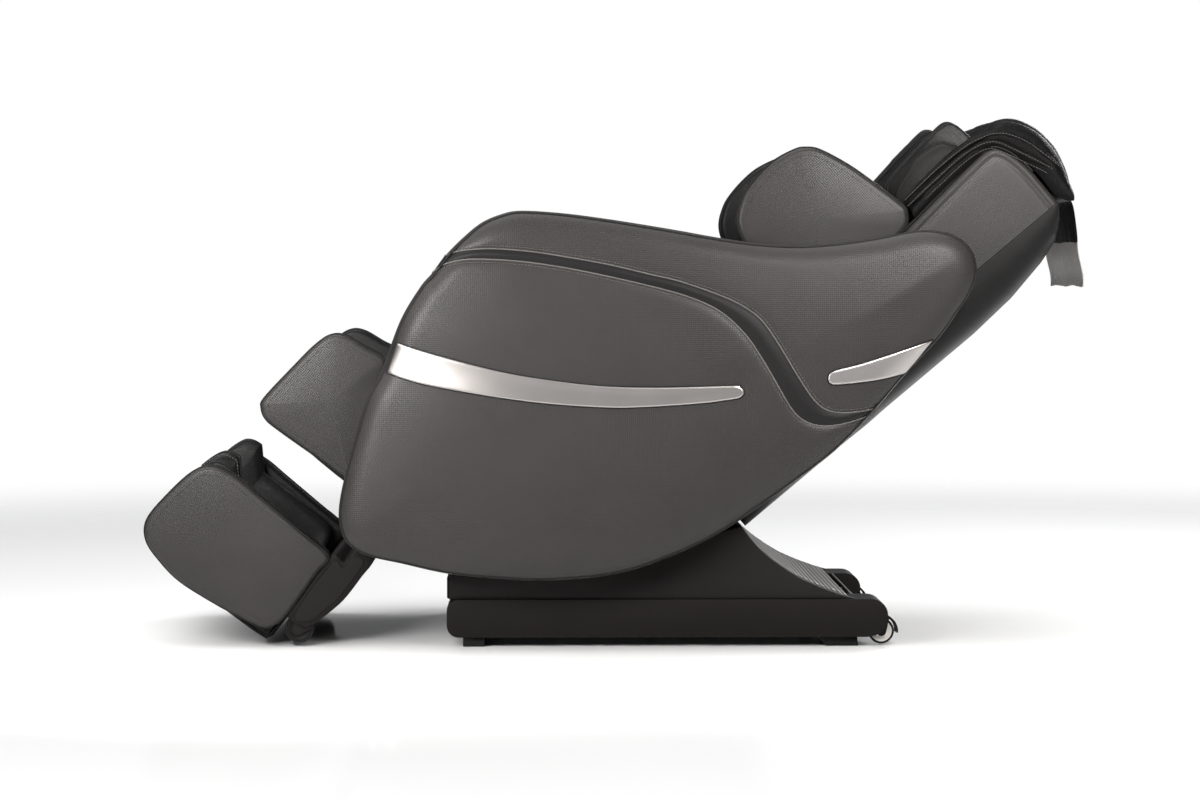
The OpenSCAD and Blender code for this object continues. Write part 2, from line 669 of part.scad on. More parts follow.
pillow_s = [640, 836];
pillow_half = pad_half - 37;
pillow_rear = 30 - pad_front + gap;
function pillow_face(s, y) =
  let (t = (s - pillow_s[0]) / (pillow_s[1] - pillow_s[0]),
       side = ease((abs(y) - 95) / 45),
       rise = 60 + 50 * sqrt(max(0, sin(180 * mix(0.06, 0.9, t)))))
  mix(40 + 6 * sin(180 * t), rise, side);

module head_pillow() {
  us = edged(8);
  vs = [-1, -0.99, -0.93, -0.75, -0.62, -0.5, -0.2, 0.2, 0.5, 0.62, 0.75, 0.93, 0.99, 1];
  function s_at(u) = (pillow_s[0] + pillow_s[1]) / 2 + u * (pillow_s[1] - pillow_s[0]) / 2;
  front = function(u, v) let (h = hump(u, 8) * hump(v, 14))
    [s_at(u), -v * pillow_half, mix(24, pillow_face(s_at(u), v * pillow_half), h)];
  rear = function(u, v) let (h = hump(u, 30) * hump(v, 30))
    [s_at(u), -v * pillow_half, mix(20, pillow_rear, h)];
  color(black) in_back() cushion_solid(us, vs, rear, front);
}

// soft cover over the backrest's top: up the front beside the pillow, over the
// top and down into the flap that hangs behind. Outer and inner lines match.
cover_out = [[644, 50], [700, 59], [776, 65], [820, 62], [850, 58], [880, 58], [903, 45],
             [922, 22], [933, -8], [935, -48], [926, -90], [914, -122], [907, -155],
             [881, -198], [852, -239], [833, -275], [819, -293]];
cover_in = [[644, 16.5], [700, 22], [776, 26.5], [820, 29], [838, 29], [852, 16], [861, -4],
            [867, -30], [871, -60], [871, -90], [871, -115], [880, -138], [896, -157],
            [876, -196], [848.5, -236.5], [830, -272.5], [816, -290.5]];
cover_half = back_half - 2;
flap_half = pillow_half - 9;

module head_cover() {
  n = 15;
  m = len(cover_out) - 1;
  // shares of the half width where the cheeks and the flap begin
  cheek = (pillow_half + 5) / cover_half;
  flap = flap_half / cover_half;
  right = [flap - 0.03, flap, cheek, cheek + 0.04, 0.88, 0.97, 1];
  vs = concat([for (v = reversed(right)) -v], [0], right);
  outer = smooth_open(cover_out, 4);
  inner = smooth_open(cover_in, 4);
  // the part of the line that each strip across the back covers
  function from(v) = 4 * 4.4 * (1 - ease((abs(v) - cheek) / 0.04));
  function till(v) = 4 * mix(m, 11.6, ease((abs(v) - flap) / 0.05));
  function along(line, k) = let (i = min(floor(k), len(line) - 2))
    line[i] + (line[i + 1] - line[i]) * (k - i);
  function step(i, v) = from(v) + (till(v) - from(v)) * i / n;
  function place(p, v) = [p.x, -v * cover_half, p.y];
  inside = function(i, v) place(along(inner, step(i, v)), v);
  // the cover thins out towards its sides
  outside = function(i, v) let (a = along(inner, step(i, v)), b = along(outer, step(i, v)))
    place(a + (b - a) * (0.3 + 0.7 * hump(v, 10)), v);
  color(black) in_back() cushion_solid([0:n], vs, inside, outside);
}

// side outline of a shoulder pad, in the back's own frame
shoulder_outline = [[376, 5], [400, -1.2], [500, 5], [600, 11.6], [626, 18], [640, 34], [643, 50],
                    [631, 103], [614, 168], [591, 225], [573, 246], [555, 256], [514, 264],
                    [463, 260], [421, 247], [385, 215], [368, 150], [366, 60]];

module shoulder_pad(side) color(grey) on_side(side) in_back() {
  rows = [[0.9, 0], [0.985, 0.12], [0.965, 0.3], [1, 0.46], [0.95, 0.8], [0.65, 1]];
  side_pad(smooth_closed(shoulder_outline, 2), [505, 130],
           [for (r = rows) [r[0], shoulder_in + r[1] * (shoulder_t - 1)]]);
}

module lift_screw() color(silver) in_back()
  translate([rail_low + end_t + gap, 0, rail_n]) rotate([0, 90, 0])
    cylinder(h = rail_high - rail_low - 2 * end_t - 2 * gap, r = 7);

carriage_s = 300;
arm_axle = [carriage_s + carriage_len / 2, axle_n];
roller_reach = 58;

module massage_carriage() color("#5a5d60") in_back() difference() {
  union() {
    translate([carriage_s, -carriage_half, rail_n - 24]) cube([carriage_len, 2 * carriage_half, 36]);
    for (y = [-knead_y - 34, -knead_y + 26, knead_y - 34, knead_y + 26])
      translate([arm_axle.x - 16, y, rail_n + 11]) cube([32, 8, 27]);
    cross_rod(arm_axle, 6, -knead_y - 34, knead_y + 34);
    translate([carriage_s + 15, -35, rail_n - 44]) cube([70, 70, 21]);
  }
  for (y = [-rail_y, rail_y]) translate([carriage_s - 1, y, rail_n]) rotate([0, 90, 0])
    cylinder(h = carriage_len + 2, r = rail_r + run_gap);
  translate([carriage_s - 1, 0, rail_n]) rotate([0, 90, 0])
    cylinder(h = carriage_len + 2, r = 7 + run_gap);
}

// centre of a roller: k is 1 for the upper one and -1 for the lower
function roller_at(k) = [arm_axle.x + k * roller_reach, roller_n];

module knead_arm(side) color(silver) on_side(side) in_back() difference() {
  union() {
    cross_rod(arm_axle, 11, knead_y - 6, knead_y + 6);
    for (k = [-1, 1]) {
      plate([arm_axle + [-5 * k, -9 * k], arm_axle + [-5 * k, 9 * k],
             roller_at(k) + [0, 9 * k], roller_at(k) - [0, 9 * k]], knead_y - 6, knead_y + 6);
      cross_rod(roller_at(k), 5, knead_y - 6, knead_y + 8 + roller_w);
      cross_rod(roller_at(k), 9, knead_y - 6, knead_y + 6.2);
    }
  }
  cross_rod(arm_axle, 6 + run_gap, knead_y - 20, knead_y + 20);
}

module roller(side, k) color(black) on_side(side) in_back() difference() {
  cross_rod(roller_at(k), roller_r, knead_y + 7, knead_y + 7 + roller_w);
  cross_rod(roller_at(k), 5 + run_gap, knead_y, knead_y + 50);
}

// ---- leg rest ------------------------------------------------------------------

guide_r = rod_r + 5;
guide_x = 24;
guide_top = -40;
guide_low = -150;

module legrest_frame() color(steel) in_leg() difference() {
  union() {
    both_sides() {
      plate(concat(arc([0, 0], lug_r - 2, -20, 200), [[-16, -60], [-4, -150], [44, -150], [44, -60]]),
            lug_in, lug_out);
      translate([guide_x, -rod_y, guide_low]) cylinder(h = guide_top - guide_low, r = guide_r);
    }
    for (z = [-95, -135]) cross_rod([guide_x, z], 12, -lug_out + 1, lug_out - 1);
    translate([guide_x + 13, -lug_out + 1, -148]) cube([5, 2 * lug_out - 2, 63]);
  }
  cross_rod([0, 0], pin_r + run_gap, -lug_out - 1, lug_out + 1);
  both_sides() translate([guide_x, -rod_y, guide_low - 1])
    cylinder(h = guide_top - guide_low + 2, r = rod_r + run_gap);
}

calf_z = [-182, -38];
calf_half = leg_pad_in - gap;
function calf_front(z, y) =
  let (divider = exp(-pow(y / 24, 4)), wall = ease((abs(y) - 182) / 22),
       t = (z - calf_z[0]) / (calf_z[1] - calf_z[0]))
  52 + 86 * divider + (150 + 55 * sin(180 * mix(0.15, 0.85, t))) * wall
  - 6 * exp(-pow((t - 0.5) / 0.07, 2)) * (1 - wall);

module calf_cushion() {
  us = edged(6);
  vs = [-1, -0.998, -0.94, -0.84, -0.75, -0.4, -0.14, -0.09, 0, 0.09, 0.14, 0.4, 0.75, 0.84,
        0.94, 0.998, 1];
  function z_at(u) = (calf_z[0] + calf_z[1]) / 2 + u * (calf_z[1] - calf_z[0]) / 2;
  front = function(u, v) let (h = hump(u, 10) * hump(v, 60))
    [-mix(16, calf_front(z_at(u), v * calf_half), h), v * calf_half, z_at(u)];
  rear = function(u, v) let (h = hump(u, 30) * hump(v, 30))
    [-mix(12, -guide_x + 15.5, h), v * calf_half, z_at(u)];
  color(black) in_leg() cushion_solid(us, vs, rear, front);
}

// outlines of the leg's side pads, as [behind the calf, up the shin]
calf_outline = [[-60, -60], [-60, -166], [-90, -170], [-138, -170], [-228, -172], [-262, -170],
                [-281, -158], [-287, -140], [-278, -60], [-270, -6], [-258, 26], [-235, 40],
                [-195, 45], [-151, 48], [-128, 10]];
foot_outline = [[-18, -306], [-60, -300], [-88, -299], [-184, -293], [-240, -290], [-287, -299],
                [-312, -330], [-325, -400], [-326, -452], [-304, -482], [-262, -497],
                [-211, -505], [-140, -500], [-83, -492], [-38, -482], [-22, -462], [-17, -430],
                [-19, -344]];

module leg_pad(outline, centre) {
  t = leg_half - leg_pad_in;
  rows = [[0.93, 0], [1, 0.1], [0.975, 0.35], [1, 0.62], [0.9, 0.9], [0.6, 1]];
  side_pad(smooth_closed(outline, 2), centre, [for (r = rows) [r[0], leg_pad_in + r[1] * t]]);
}

module calf_pad(side) color(grey) on_side(side) in_leg() leg_pad(calf_outline, [-185, -70]);
module foot_pad(side) color(grey) on_side(side) in_leg() leg_pad(foot_outline, [-180, -400]);

shell_outline = [[13, -262], [51, -258], [51, -302], [52, -354], [42, -395], [34, -425],
                 [24, -440], [-14, -440], [-16, -400], [-15, -300], [12, -296]];
leg_caster = [18, -446];
leg_wheel_mid = leg_half - 36;

module foot_shell() color(black) in_leg() {
  difference() {
    union() {
      plate(shell_outline, -leg_half + 14, leg_half - 14);
      both_sides() plate([[2, -436], [34, -430], [leg_caster.x + 8, leg_caster.y - 6],
                          [leg_caster.x - 8, leg_caster.y - 6]],
                         leg_wheel_mid - leg_wheel_w / 2 - 8, leg_half - 14);
    }
    both_sides() translate([leg_caster.x, -leg_wheel_mid + leg_wheel_w / 2 + 2, leg_caster.y])
      rotate([90, 0, 0]) cylinder(h = leg_wheel_w + 4, r = leg_wheel_r + 3);
  }
  both_sides() {
    cross_rod(leg_caster, axle_r, leg_wheel_mid - leg_wheel_w / 2 - 7,
              leg_wheel_mid + leg_wheel_w / 2 + 7);
    translate([guide_x, -rod_y, -270]) cylinder(h = rod_len, r = rod_r);
  }
  // tray under the sole
  translate([-296, -calf_half, -505]) cube([278, 2 * calf_half, 6]);
  translate([-21.5, -calf_half, -505]) cube([9, 2 * calf_half, 80]);
}

foot_x = [22, 318];
function foot_top(x, y) =
  let (divider = exp(-pow(y / 26, 4)), wall = ease((abs(y) - 178) / 20),
       t = (x - foot_x[0]) / (foot_x[1] - foot_x[0]),
       heel = ease((0.16 - t) / 0.14), toe = ease((t - 0.9) / 0.08),
       rim = -308 + 50 * ease((x - 222) / 40) - 12 * ease((t - 0.93) / 0.07),
       sole = -466 + 8 * cos(720 * t))
  mix(mix(mix(sole, -352, divider), -350, max(heel, 0.8 * toe)), rim, wall);

module foot_cushion() {
  us = [-1, -0.97, -0.8, -0.68, 0.2, 0.38, 0.52, 0.86, 0.97, 1];
  vs = [-1, -0.985, -0.84, -0.74, -0.4, -0.15, -0.09, 0, 0.09, 0.15, 0.4, 0.74, 0.84, 0.985, 1];
  function x_at(u) = (foot_x[0] + foot_x[1]) / 2 + u * (foot_x[1] - foot_x[0]) / 2;
  top = function(u, v) let (h = hump(u, 12) * hump(v, 24))
    [-x_at(u), -v * calf_half, mix(-490, foot_top(x_at(u), v * calf_half), h)];
  low = function(u, v) [-x_at(u), -v * calf_half, -499 + gap];
  color(black) in_leg() cushion_solid(us, vs, top, low);
}

module leg_wheel(side) color(black) on_side(side) in_leg()
  wheel(leg_caster, leg_wheel_r, leg_wheel_w, leg_wheel_mid);

base_frame();
skirt("left");  // skirt_left
skirt("right");  // skirt_right
base_cover("left");  // base_cover_left
base_cover("right");  // base_cover_right
rear_deck();
front_cover();
base_feet();
caster_forks();
rear_wheel("left");  // rear_wheel_left
rear_wheel("right");  // rear_wheel_right
control_box();
air_pump();
power_inlet();
power_switch();
tilt_drive();
seat_frame();
seat_cushion();
side_panel("left");  // side_panel_left
side_panel("right");  // side_panel_right
arm_band("left");  // arm_band_left
arm_band("right");  // arm_band_right
armrest("left");  // armrest_left
armrest("right");  // armrest_right
arm_trim("left");  // arm_trim_left
arm_trim("right");  // arm_trim_right
keypad();
button(0);  // button_power
button(1);  // button_program
button(2);  // button_stop
hinge_pins();
recline_actuator();
recline_rod();
back_frame();
back_shell();
wing("left");  // wing_left
wing("right");  // wing_right
back_cushion();
head_pillow();
head_cover();
shoulder_pad("left");  // shoulder_pad_left
shoulder_pad("right");  // shoulder_pad_right
lift_screw();
massage_carriage();
knead_arm("left");  // knead_arm_left
knead_arm("right");  // knead_arm_right
roller("left", 1);  // roller_upper_left
roller("left", -1);  // roller_lower_left
roller("right", 1);  // roller_upper_right
roller("right", -1);  // roller_lower_right
legrest_frame();
calf_cushion();
calf_pad("left");  // calf_pad_left
calf_pad("right");  // calf_pad_right
foot_shell();
foot_cushion();
foot_pad("left");  // foot_pad_left
foot_pad("right");  // foot_pad_right
leg_wheel("left");  // leg_wheel_left
leg_wheel("right");  // leg_wheel_right
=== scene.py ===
import json
import math

import bmesh
import bpy
import numpy as np
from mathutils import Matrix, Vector


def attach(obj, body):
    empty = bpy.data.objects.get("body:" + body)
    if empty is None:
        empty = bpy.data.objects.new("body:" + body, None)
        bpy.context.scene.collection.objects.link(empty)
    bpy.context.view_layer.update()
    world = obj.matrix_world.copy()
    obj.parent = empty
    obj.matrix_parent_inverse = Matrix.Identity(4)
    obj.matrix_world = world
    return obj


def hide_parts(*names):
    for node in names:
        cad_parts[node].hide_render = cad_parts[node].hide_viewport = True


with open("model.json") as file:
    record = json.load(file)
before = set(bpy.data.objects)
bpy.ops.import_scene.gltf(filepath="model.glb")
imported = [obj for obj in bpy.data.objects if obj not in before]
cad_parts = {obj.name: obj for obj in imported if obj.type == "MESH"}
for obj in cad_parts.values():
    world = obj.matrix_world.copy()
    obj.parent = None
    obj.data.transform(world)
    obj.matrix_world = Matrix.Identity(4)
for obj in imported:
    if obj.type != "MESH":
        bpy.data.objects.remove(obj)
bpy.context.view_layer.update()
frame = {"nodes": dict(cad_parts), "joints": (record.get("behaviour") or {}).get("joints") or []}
nodes = frame["nodes"]
joints = {j["name"]: j for j in frame["joints"]}
mm = 0.001
print("frame loaded:", len(nodes), "nodes")

# Places: every piece is drawn in millimetres in the frame of what carries it


# Origin at a joint's pivot; x along xAxis in the X-Z plane, z a quarter turn from it.
def placeAt(joint, xAxis):
    pos = joints[joint]["pos_m"]
    return {"x0": pos[0] / mm, "z0": pos[2] / mm, "cx": xAxis[0], "cz": xAxis[1]}


backUp = joints["carriage_travel"]["axis"]
seatRear = joints["recline_rod_slide"]["axis"]
shinUp = joints["legrest_extend"]["axis"]
places = {
    "world": {"x0": 0, "z0": 0, "cx": 1, "cz": 0},
    "back": placeAt("backrest_recline", (backUp[0], backUp[2])),
    "seat": placeAt("backrest_recline", (seatRear[0], seatRear[2])),
    "leg": placeAt("legrest_lift", (shinUp[2], -shinUp[0])),
}


# Local millimetres to millimetres in the shared frame.
def toWorld(points, place):
    p = places[place]
    x, y, z = points[..., 0], points[..., 1], points[..., 2]
    return np.stack([p["x0"] + x * p["cx"] - z * p["cz"], y, p["z0"] + x * p["cz"] + z * p["cx"]], -1)


# Millimetres in the shared frame to local millimetres.
def toLocal(points, place):
    p = places[place]
    x, z = points[..., 0] - p["x0"], points[..., 2] - p["z0"]
    return np.stack([x * p["cx"] + z * p["cz"], points[..., 1], -x * p["cz"] + z * p["cx"]], -1)


# Curves and number helpers


# 0 to 1 with flat ends: 3t^2 - 2t^3.
def ease(t):
    t = np.clip(t, 0, 1)
    return t * t * (3 - 2 * t)


# 1 at d = 0, falling off as exp(-(d / width)^2).
def bell(d, width):
    return np.exp(-((d / width) ** 2))


# 1 over the middle and 0 at the ends: (1 - |u|^power)^0.5.
def hump(u, power):
    return np.sqrt(np.clip(1 - np.abs(u) ** power, 0, 1))


# Quarter circle of the distance d to an edge: (1 - (1 - d / reach)^2)^0.5, level from reach on.
def rounded(d, reach):
    k = 1 - np.minimum(1, d / reach)
    return np.sqrt(1 - k * k)


# Numbers from 0 to 1, closer together at both ends: 0.5 - 0.5 * cos(180 t).
def closeEnds(count):
    return 0.5 - 0.5 * np.cos(np.linspace(0, math.pi, count))


# Numbers from -1 to 1, closer together at both ends: sin(90 t * share).
def sineSpaced(count, share=1):
    return np.sin(np.linspace(-1, 1, count) * math.pi / 2 * share)


# Middle of a span, and half its length.
def middleAndHalf(span):
    return (span[0] + span[1]) / 2, (span[1] - span[0]) / 2


# Catmull-Rom curve through points, with so many steps between neighbours.
def spline(points, steps, closed=False):
    p = np.asarray(points, float)
    if closed:
        q = np.vstack([p[-1:], p, p[:2]])
    else:
        q = np.vstack([p[:1], p, p[-1:]])
    t = np.linspace(0, 1, steps, endpoint=False)[:, None]
    parts = []
    for a, b, c, d in zip(q[:-3], q[1:-2], q[2:-1], q[3:]):
        parts.append(0.5 * (2 * b + (c - a) * t + (2 * a - 5 * b + 4 * c - d) * t**2
                            + (3 * b - a - 3 * c + d) * t**3))
    if not closed:
        parts.append(p[-1:])
    return np.vstack(parts)


# Points at the given shares of a line's length.
def evenly(points, shares, closed=False):
    p = np.vstack([points, points[:1]]) if closed else np.asarray(points, float)
    run = np.concatenate([[0], np.cumsum(np.linalg.norm(np.diff(p, axis=0), axis=1))])
    at = np.asarray(shares) * run[-1]
    return np.stack([np.interp(at, run, p[:, k]) for k in range(p.shape[1])], -1)


# So many points at equal steps round a closed loop.
def around(loop, count):
    return evenly(loop, np.linspace(0, 1, count, endpoint=False), closed=True)


# Unit vectors a quarter turn to the left of a line.
def leftOf(line):
    step = np.gradient(line, axis=0)
    step /= np.linalg.norm(step, axis=1)[:, None]
    return np.stack([-step[:, 1], step[:, 0]], -1)


# Side-view line put at y across the chair; y may vary along it.
def atY(line, y):
    return np.stack([line[:, 0], np.broadcast_to(y, len(line)), line[:, 1]], -1)


# Distance of each point (x, z) from a chain of segments.
def lineDistance(x, z, line):
    best = np.full(np.shape(x), 1e9)
    for a, b in zip(line[:-1], line[1:]):
        ab = b - a
        t = np.clip(((x - a[0]) * ab[0] + (z - a[1]) * ab[1]) / max(ab @ ab, 1e-9), 0, 1)
        best = np.minimum(best, np.hypot(x - a[0] - t * ab[0], z - a[1] - t * ab[1]))
    return best


# Sum of soft creases, each a bell across a random line that fades along it.
def wrinkle(u, v, seed, count, reach, spread=0.35):
    rng = np.random.default_rng(seed)
    total = np.zeros(np.broadcast(u, v).shape)
    for _ in range(count):
        cu, cv, turn = rng.uniform(u.min(), u.max()), rng.uniform(v.min(), v.max()), rng.normal(0, spread)
        along = (u - cu) * math.cos(turn) + (v - cv) * math.sin(turn)
        across = -(u - cu) * math.sin(turn) + (v - cv) * math.cos(turn)
        total += rng.uniform(0.4, 1) * bell(across, reach * rng.uniform(0.12, 0.3)) * bell(along, reach)
    return total


# Mesh builders


weldGap = 0.00002


# New object in the scene.
def linked(name, data):
    obj = bpy.data.objects.new(name, data)
    bpy.context.scene.collection.objects.link(obj)
    return obj


# Vertex positions or normals as one array.
def coordinates(mesh, what="co"):
    out = np.empty(len(mesh.vertices) * 3)
    if what == "co":
        mesh.vertices.foreach_get("co", out)
    else:
        mesh.vertex_normals.foreach_get("vector", out)
    return out.reshape(-1, 3)


# Sets every vertex position, in metres.
def moveTo(mesh, points):
    mesh.vertices.foreach_set("co", points.ravel())
    mesh.update()


# Welds vertices closer than gap, if there is one, and turns all faces outwards.
def cleanMesh(mesh, gap):
    bm = bmesh.new()
    bm.from_mesh(mesh)
    if gap:
        bmesh.ops.remove_doubles(bm, verts=bm.verts, dist=gap)
    bmesh.ops.recalc_face_normals(bm, faces=bm.faces)
    bm.to_mesh(mesh)
    bm.free()


def shadeSmooth(mesh):  # smooth shading on every face
    mesh.polygons.foreach_set("use_smooth", np.ones(len(mesh.polygons), bool))


# Texture plane of each face: the two axes that it faces least, in metres.
def flatUv(mesh):
    count = len(mesh.polygons)
    normal = np.empty(count * 3)
    mesh.polygons.foreach_get("normal", normal)
    facing = np.abs(normal.reshape(-1, 3)).argmax(1)
    total = np.empty(count, int)
    mesh.polygons.foreach_get("loop_total", total)
    corner = np.empty(len(mesh.loops), int)
    mesh.loops.foreach_get("vertex_index", corner)
    at, axis = coordinates(mesh)[corner], np.repeat(facing, total)
    uv = np.where(axis[:, None] == 0, at[:, 1:], np.where(axis[:, None] == 1, at[:, ::2], at[:, :2]))
    layer = mesh.uv_layers.get("skin") or mesh.uv_layers.new(name="skin")
    layer.data.foreach_set("uv", uv.astype(np.float32).ravel())


# Place that each body's pieces are drawn in, where it isn't the world
bodyPlaces = {"backrest": "back", "legrest": "leg", "footrest": "leg", "leg_wheel_left": "leg",
              "leg_wheel_right": "leg"}


# Hangs the piece on the body that carries it, and hides the CAD pieces it stands for.
def ride(obj, body, replaced=()):
    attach(obj, body)
    if replaced:
        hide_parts(*replaced)
    return obj


# Object from local millimetre vertices: merged, faces outwards, textured flat, then placed.
def finishMesh(name, verts, faces, body, finish, inner=None, innerTest=None, gap=weldGap, slot=None,
               replaced=(), fill=None):
    mesh = bpy.data.meshes.new(name)
    mesh.from_pydata((np.asarray(verts) * mm).tolist(), [], faces)
    cleanMesh(mesh, gap)
    flatUv(mesh)
    mesh.materials.append(finishes[finish])
    if inner:  # second finish, by the local centre of each face
        mesh.materials.append(finishes[inner])
        centre = np.empty(len(mesh.polygons) * 3)
        mesh.polygons.foreach_get("center", centre)
        mesh.polygons.foreach_set("material_index", innerTest(centre.reshape(-1, 3) / mm).astype(np.int32))
    shadeSmooth(mesh)
    moveTo(mesh, toWorld(coordinates(mesh) / mm, bodyPlaces.get(body, "world")) * mm)
    obj = linked(name, mesh)
    return ride(obj, body, replaced) if body else obj


# Quads over a grid of points, joined round where wrapped.
def gridFaces(rows, columns, wrapRows=False, wrapColumns=False):
    i = np.arange(rows if wrapRows else rows - 1)[:, None]
    j = np.arange(columns if wrapColumns else columns - 1)[None, :]
    i2, j2 = (i + 1) % rows, (j + 1) % columns
    quads = np.stack(np.broadcast_arrays(i * columns + j, i2 * columns + j, i2 * columns + j2, i * columns + j2), -1)
    return quads.reshape(-1, 4).tolist()


# Closed solid through rings of points, with a flat face on its first and last ring.
def ringSolid(name, rings, body, finish, **extra):
    rows, columns = rings.shape[:2]
    faces = gridFaces(rows, columns, wrapColumns=True)
    faces += [list(range(columns)), list(range((rows - 1) * columns, rows * columns))]
    return finishMesh(name, rings.reshape(-1, 3), faces, body, finish, **extra)


# Closed solid between two grids of the same size, walled round their shared rim.
def shell(name, front, back, body, finish, **extra):
    rows, columns = front.shape[:2]
    index = np.arange(rows * columns).reshape(rows, columns)
    rim = np.concatenate([index[0], index[1:, -1], index[-1, -2::-1], index[-2:0:-1, 0]])
    ahead, far = np.roll(rim, -1), rows * columns
    near = gridFaces(rows, columns)
    faces = near + [[k + far for k in quad[::-1]] for quad in near]
    faces += np.stack([ahead, rim, rim + far, ahead + far], -1).tolist()
    return finishMesh(name, np.concatenate([front.reshape(-1, 3), back.reshape(-1, 3)]), faces, body, finish,
                      **extra)


# Circle carried along a path, square to it and turned so that one axis lies in the X-Z plane.
def tubePoints(path, radius, sides, closed):
    path = np.asarray(path, float)
    if closed:
        tangent = np.roll(path, -1, 0) - np.roll(path, 1, 0)
    else:
        tangent = np.gradient(path, axis=0)
    tangent /= np.linalg.norm(tangent, axis=1)[:, None] + 1e-12
    side = np.cross(tangent, (0.0, 1.0, 0.0))
    side /= np.linalg.norm(side, axis=1)[:, None] + 1e-12
    up = np.cross(side, tangent)
    turn = np.linspace(0, 2 * math.pi, sides, endpoint=False)
    radius = np.broadcast_to(radius, len(path))[:, None, None]
    return path[:, None] + radius * (side[:, None] * np.cos(turn)[None, :, None]
                                     + up[:, None] * np.sin(turn)[None, :, None])


# One object of round cords along several paths.
def tubes(name, paths, radius, body, finish, sides=8, closed=False, **extra):
    verts, faces = [], []
    for path in paths:
        rings = tubePoints(path, radius, sides, closed)
        start, rows = sum(len(v) for v in verts), len(rings)
        quads = gridFaces(rows, sides, wrapRows=closed, wrapColumns=True)
        if not closed:
            quads += [list(range(sides)), list(range((rows - 1) * sides, rows * sides))]
        faces += [[start + k for k in quad] for quad in quads]
        verts.append(rings.reshape(-1, 3))
    return finishMesh(name, np.vstack(verts), faces, body, finish, **extra)


# Left-side points, or their mirror image on the right.
def mirrored(points, side):
    return points * np.array([1, -1, 1]) if side == "right" else points


stitch = {"pitch": 6.0, "length": 4.0, "width": 1.0, "height": 0.6, "taper": 0.7}


# Rows of small dashes: a tapered box at every pitch along each line, turned along it.
def stitches(name, lines, body, finish, up=(0, -1, 0), **extra):
    pitch, length, width, height, taper = stitch.values()
    centres, ways = [], []
    for line in lines:
        line = np.asarray(line, float)
        total = np.linalg.norm(np.diff(line, axis=0), axis=1).sum()
        shares = (np.arange(int(total / pitch)) + 0.5) * pitch / total
        centres.append(evenly(line, shares))
        ways.append(evenly(line, np.minimum(shares + 0.5 / total, 1)) - evenly(line, shares - 0.5 / total))
    c, t = np.vstack(centres), np.vstack(ways)
    t /= np.linalg.norm(t, axis=1)[:, None] + 1e-9
    n = np.broadcast_to(np.asarray(up, float), t.shape)
    side = np.cross(t, n)
    side /= np.linalg.norm(side, axis=1)[:, None] + 1e-9
    n = np.cross(side, t)
    box = np.array([(i, j, k) for i in (-1, 1) for j in (-1, 1) for k in (-1, 1)], float)
    box[:, 1] *= np.where(box[:, 2] > 0, taper, 1)
    verts = (c[:, None] + t[:, None] * box[None, :, :1] * length / 2
             + side[:, None] * box[None, :, 1:2] * width / 2 + n[:, None] * box[None, :, 2:] * height)
    quads = np.array([(0, 1, 3, 2), (4, 6, 7, 5), (0, 4, 5, 1), (2, 3, 7, 6), (0, 2, 6, 4), (1, 5, 7, 3)])
    faces = (quads[None] + 8 * np.arange(len(c))[:, None, None]).reshape(-1, 4).tolist()
    return finishMesh(name, verts.reshape(-1, 3), faces, body, finish, gap=0, **extra)


sides = ("left", "right")


# Piece name with its side behind it.
def titled(name, side):
    return name + side.capitalize()


# Shader maths


# A number that varies over a surface; operators on it add Math nodes.
class Value:

    def __init__(self, finish, socket):
        self.finish, self.socket = finish, socket

    def maths(self, operation, *others):
        return Value(self.finish, self.finish.node("ShaderNodeMath", {"operation": operation},
                                                   dict(enumerate([self, *others]))).outputs[0])

    def __add__(self, other): return self.maths("ADD", other)
    def __sub__(self, other): return self.maths("SUBTRACT", other)
    def __mul__(self, other): return self.maths("MULTIPLY", other)
    def __rsub__(self, other): return (self * -1) + other
    __radd__, __rmul__ = __add__, __mul__
    def sin(self): return self.maths("SINE")
    def clamp(self): return self.maths("MINIMUM", 1).maths("MAXIMUM", 0)


# A material's node tree, with one method that adds any node.
class Finish:

    def __init__(self, name, **fixed):
        self.material = bpy.data.materials.new(name)
        self.material.use_nodes = True
        self.tree = self.material.node_tree
        self.shader = self.tree.nodes["Principled BSDF"]
        for key, value in fixed.items():
            self.shader.inputs[key.replace("_", " ")].default_value = value

    def node(self, kind, settings=None, inputs=None):
        made = self.tree.nodes.new(kind)
        for key, value in (settings or {}).items():
            setattr(made, key, value)
        for key, value in (inputs or {}).items():
            self.join(made.inputs[key], value)
        return made

    def join(self, socket, value):
        value = value.socket if isinstance(value, Value) else value
        if isinstance(value, bpy.types.NodeSocket):
            self.tree.links.new(value, socket)
        else:
            socket.default_value = value

    # Coordinates in metres: the piece's own, or its texture plane.
    def place(self, uv=False):
        if uv:
            return self.node("ShaderNodeUVMap", {"uv_map": "skin"}).outputs["UV"]
        return self.node("ShaderNodeTexCoord").outputs["Object"]

    def axes(self, vector):
        out = self.node("ShaderNodeSeparateXYZ", None, {0: vector}).outputs
        return [Value(self, out[k]) for k in range(3)]

    def noise(self, vector, scale, detail=3.0, roughness=0.55, stretch=(1, 1, 1)):
        if stretch != (1, 1, 1):
            vector = self.node("ShaderNodeMapping", None, {"Vector": vector, "Scale": stretch}).outputs[0]
        made = self.node("ShaderNodeTexNoise", None, {"Vector": vector, "Scale": scale,
                                                      "Detail": detail, "Roughness": roughness})
        return Value(self, made.outputs["Fac"])

    def mix(self, factor, a, b):
        made = self.node("ShaderNodeMix", {"data_type": "RGBA"}, {"Factor": factor, 6: a, 7: b})
        return made.outputs[2]

    def bump(self, height, distance, below=None):
        inputs = {"Height": height, "Distance": distance, "Strength": 1.0}
        if below is not None:
            inputs["Normal"] = below
        return self.node("ShaderNodeBump", None, inputs).outputs[0]

    def set(self, key, value):
        self.join(self.shader.inputs[key], value)


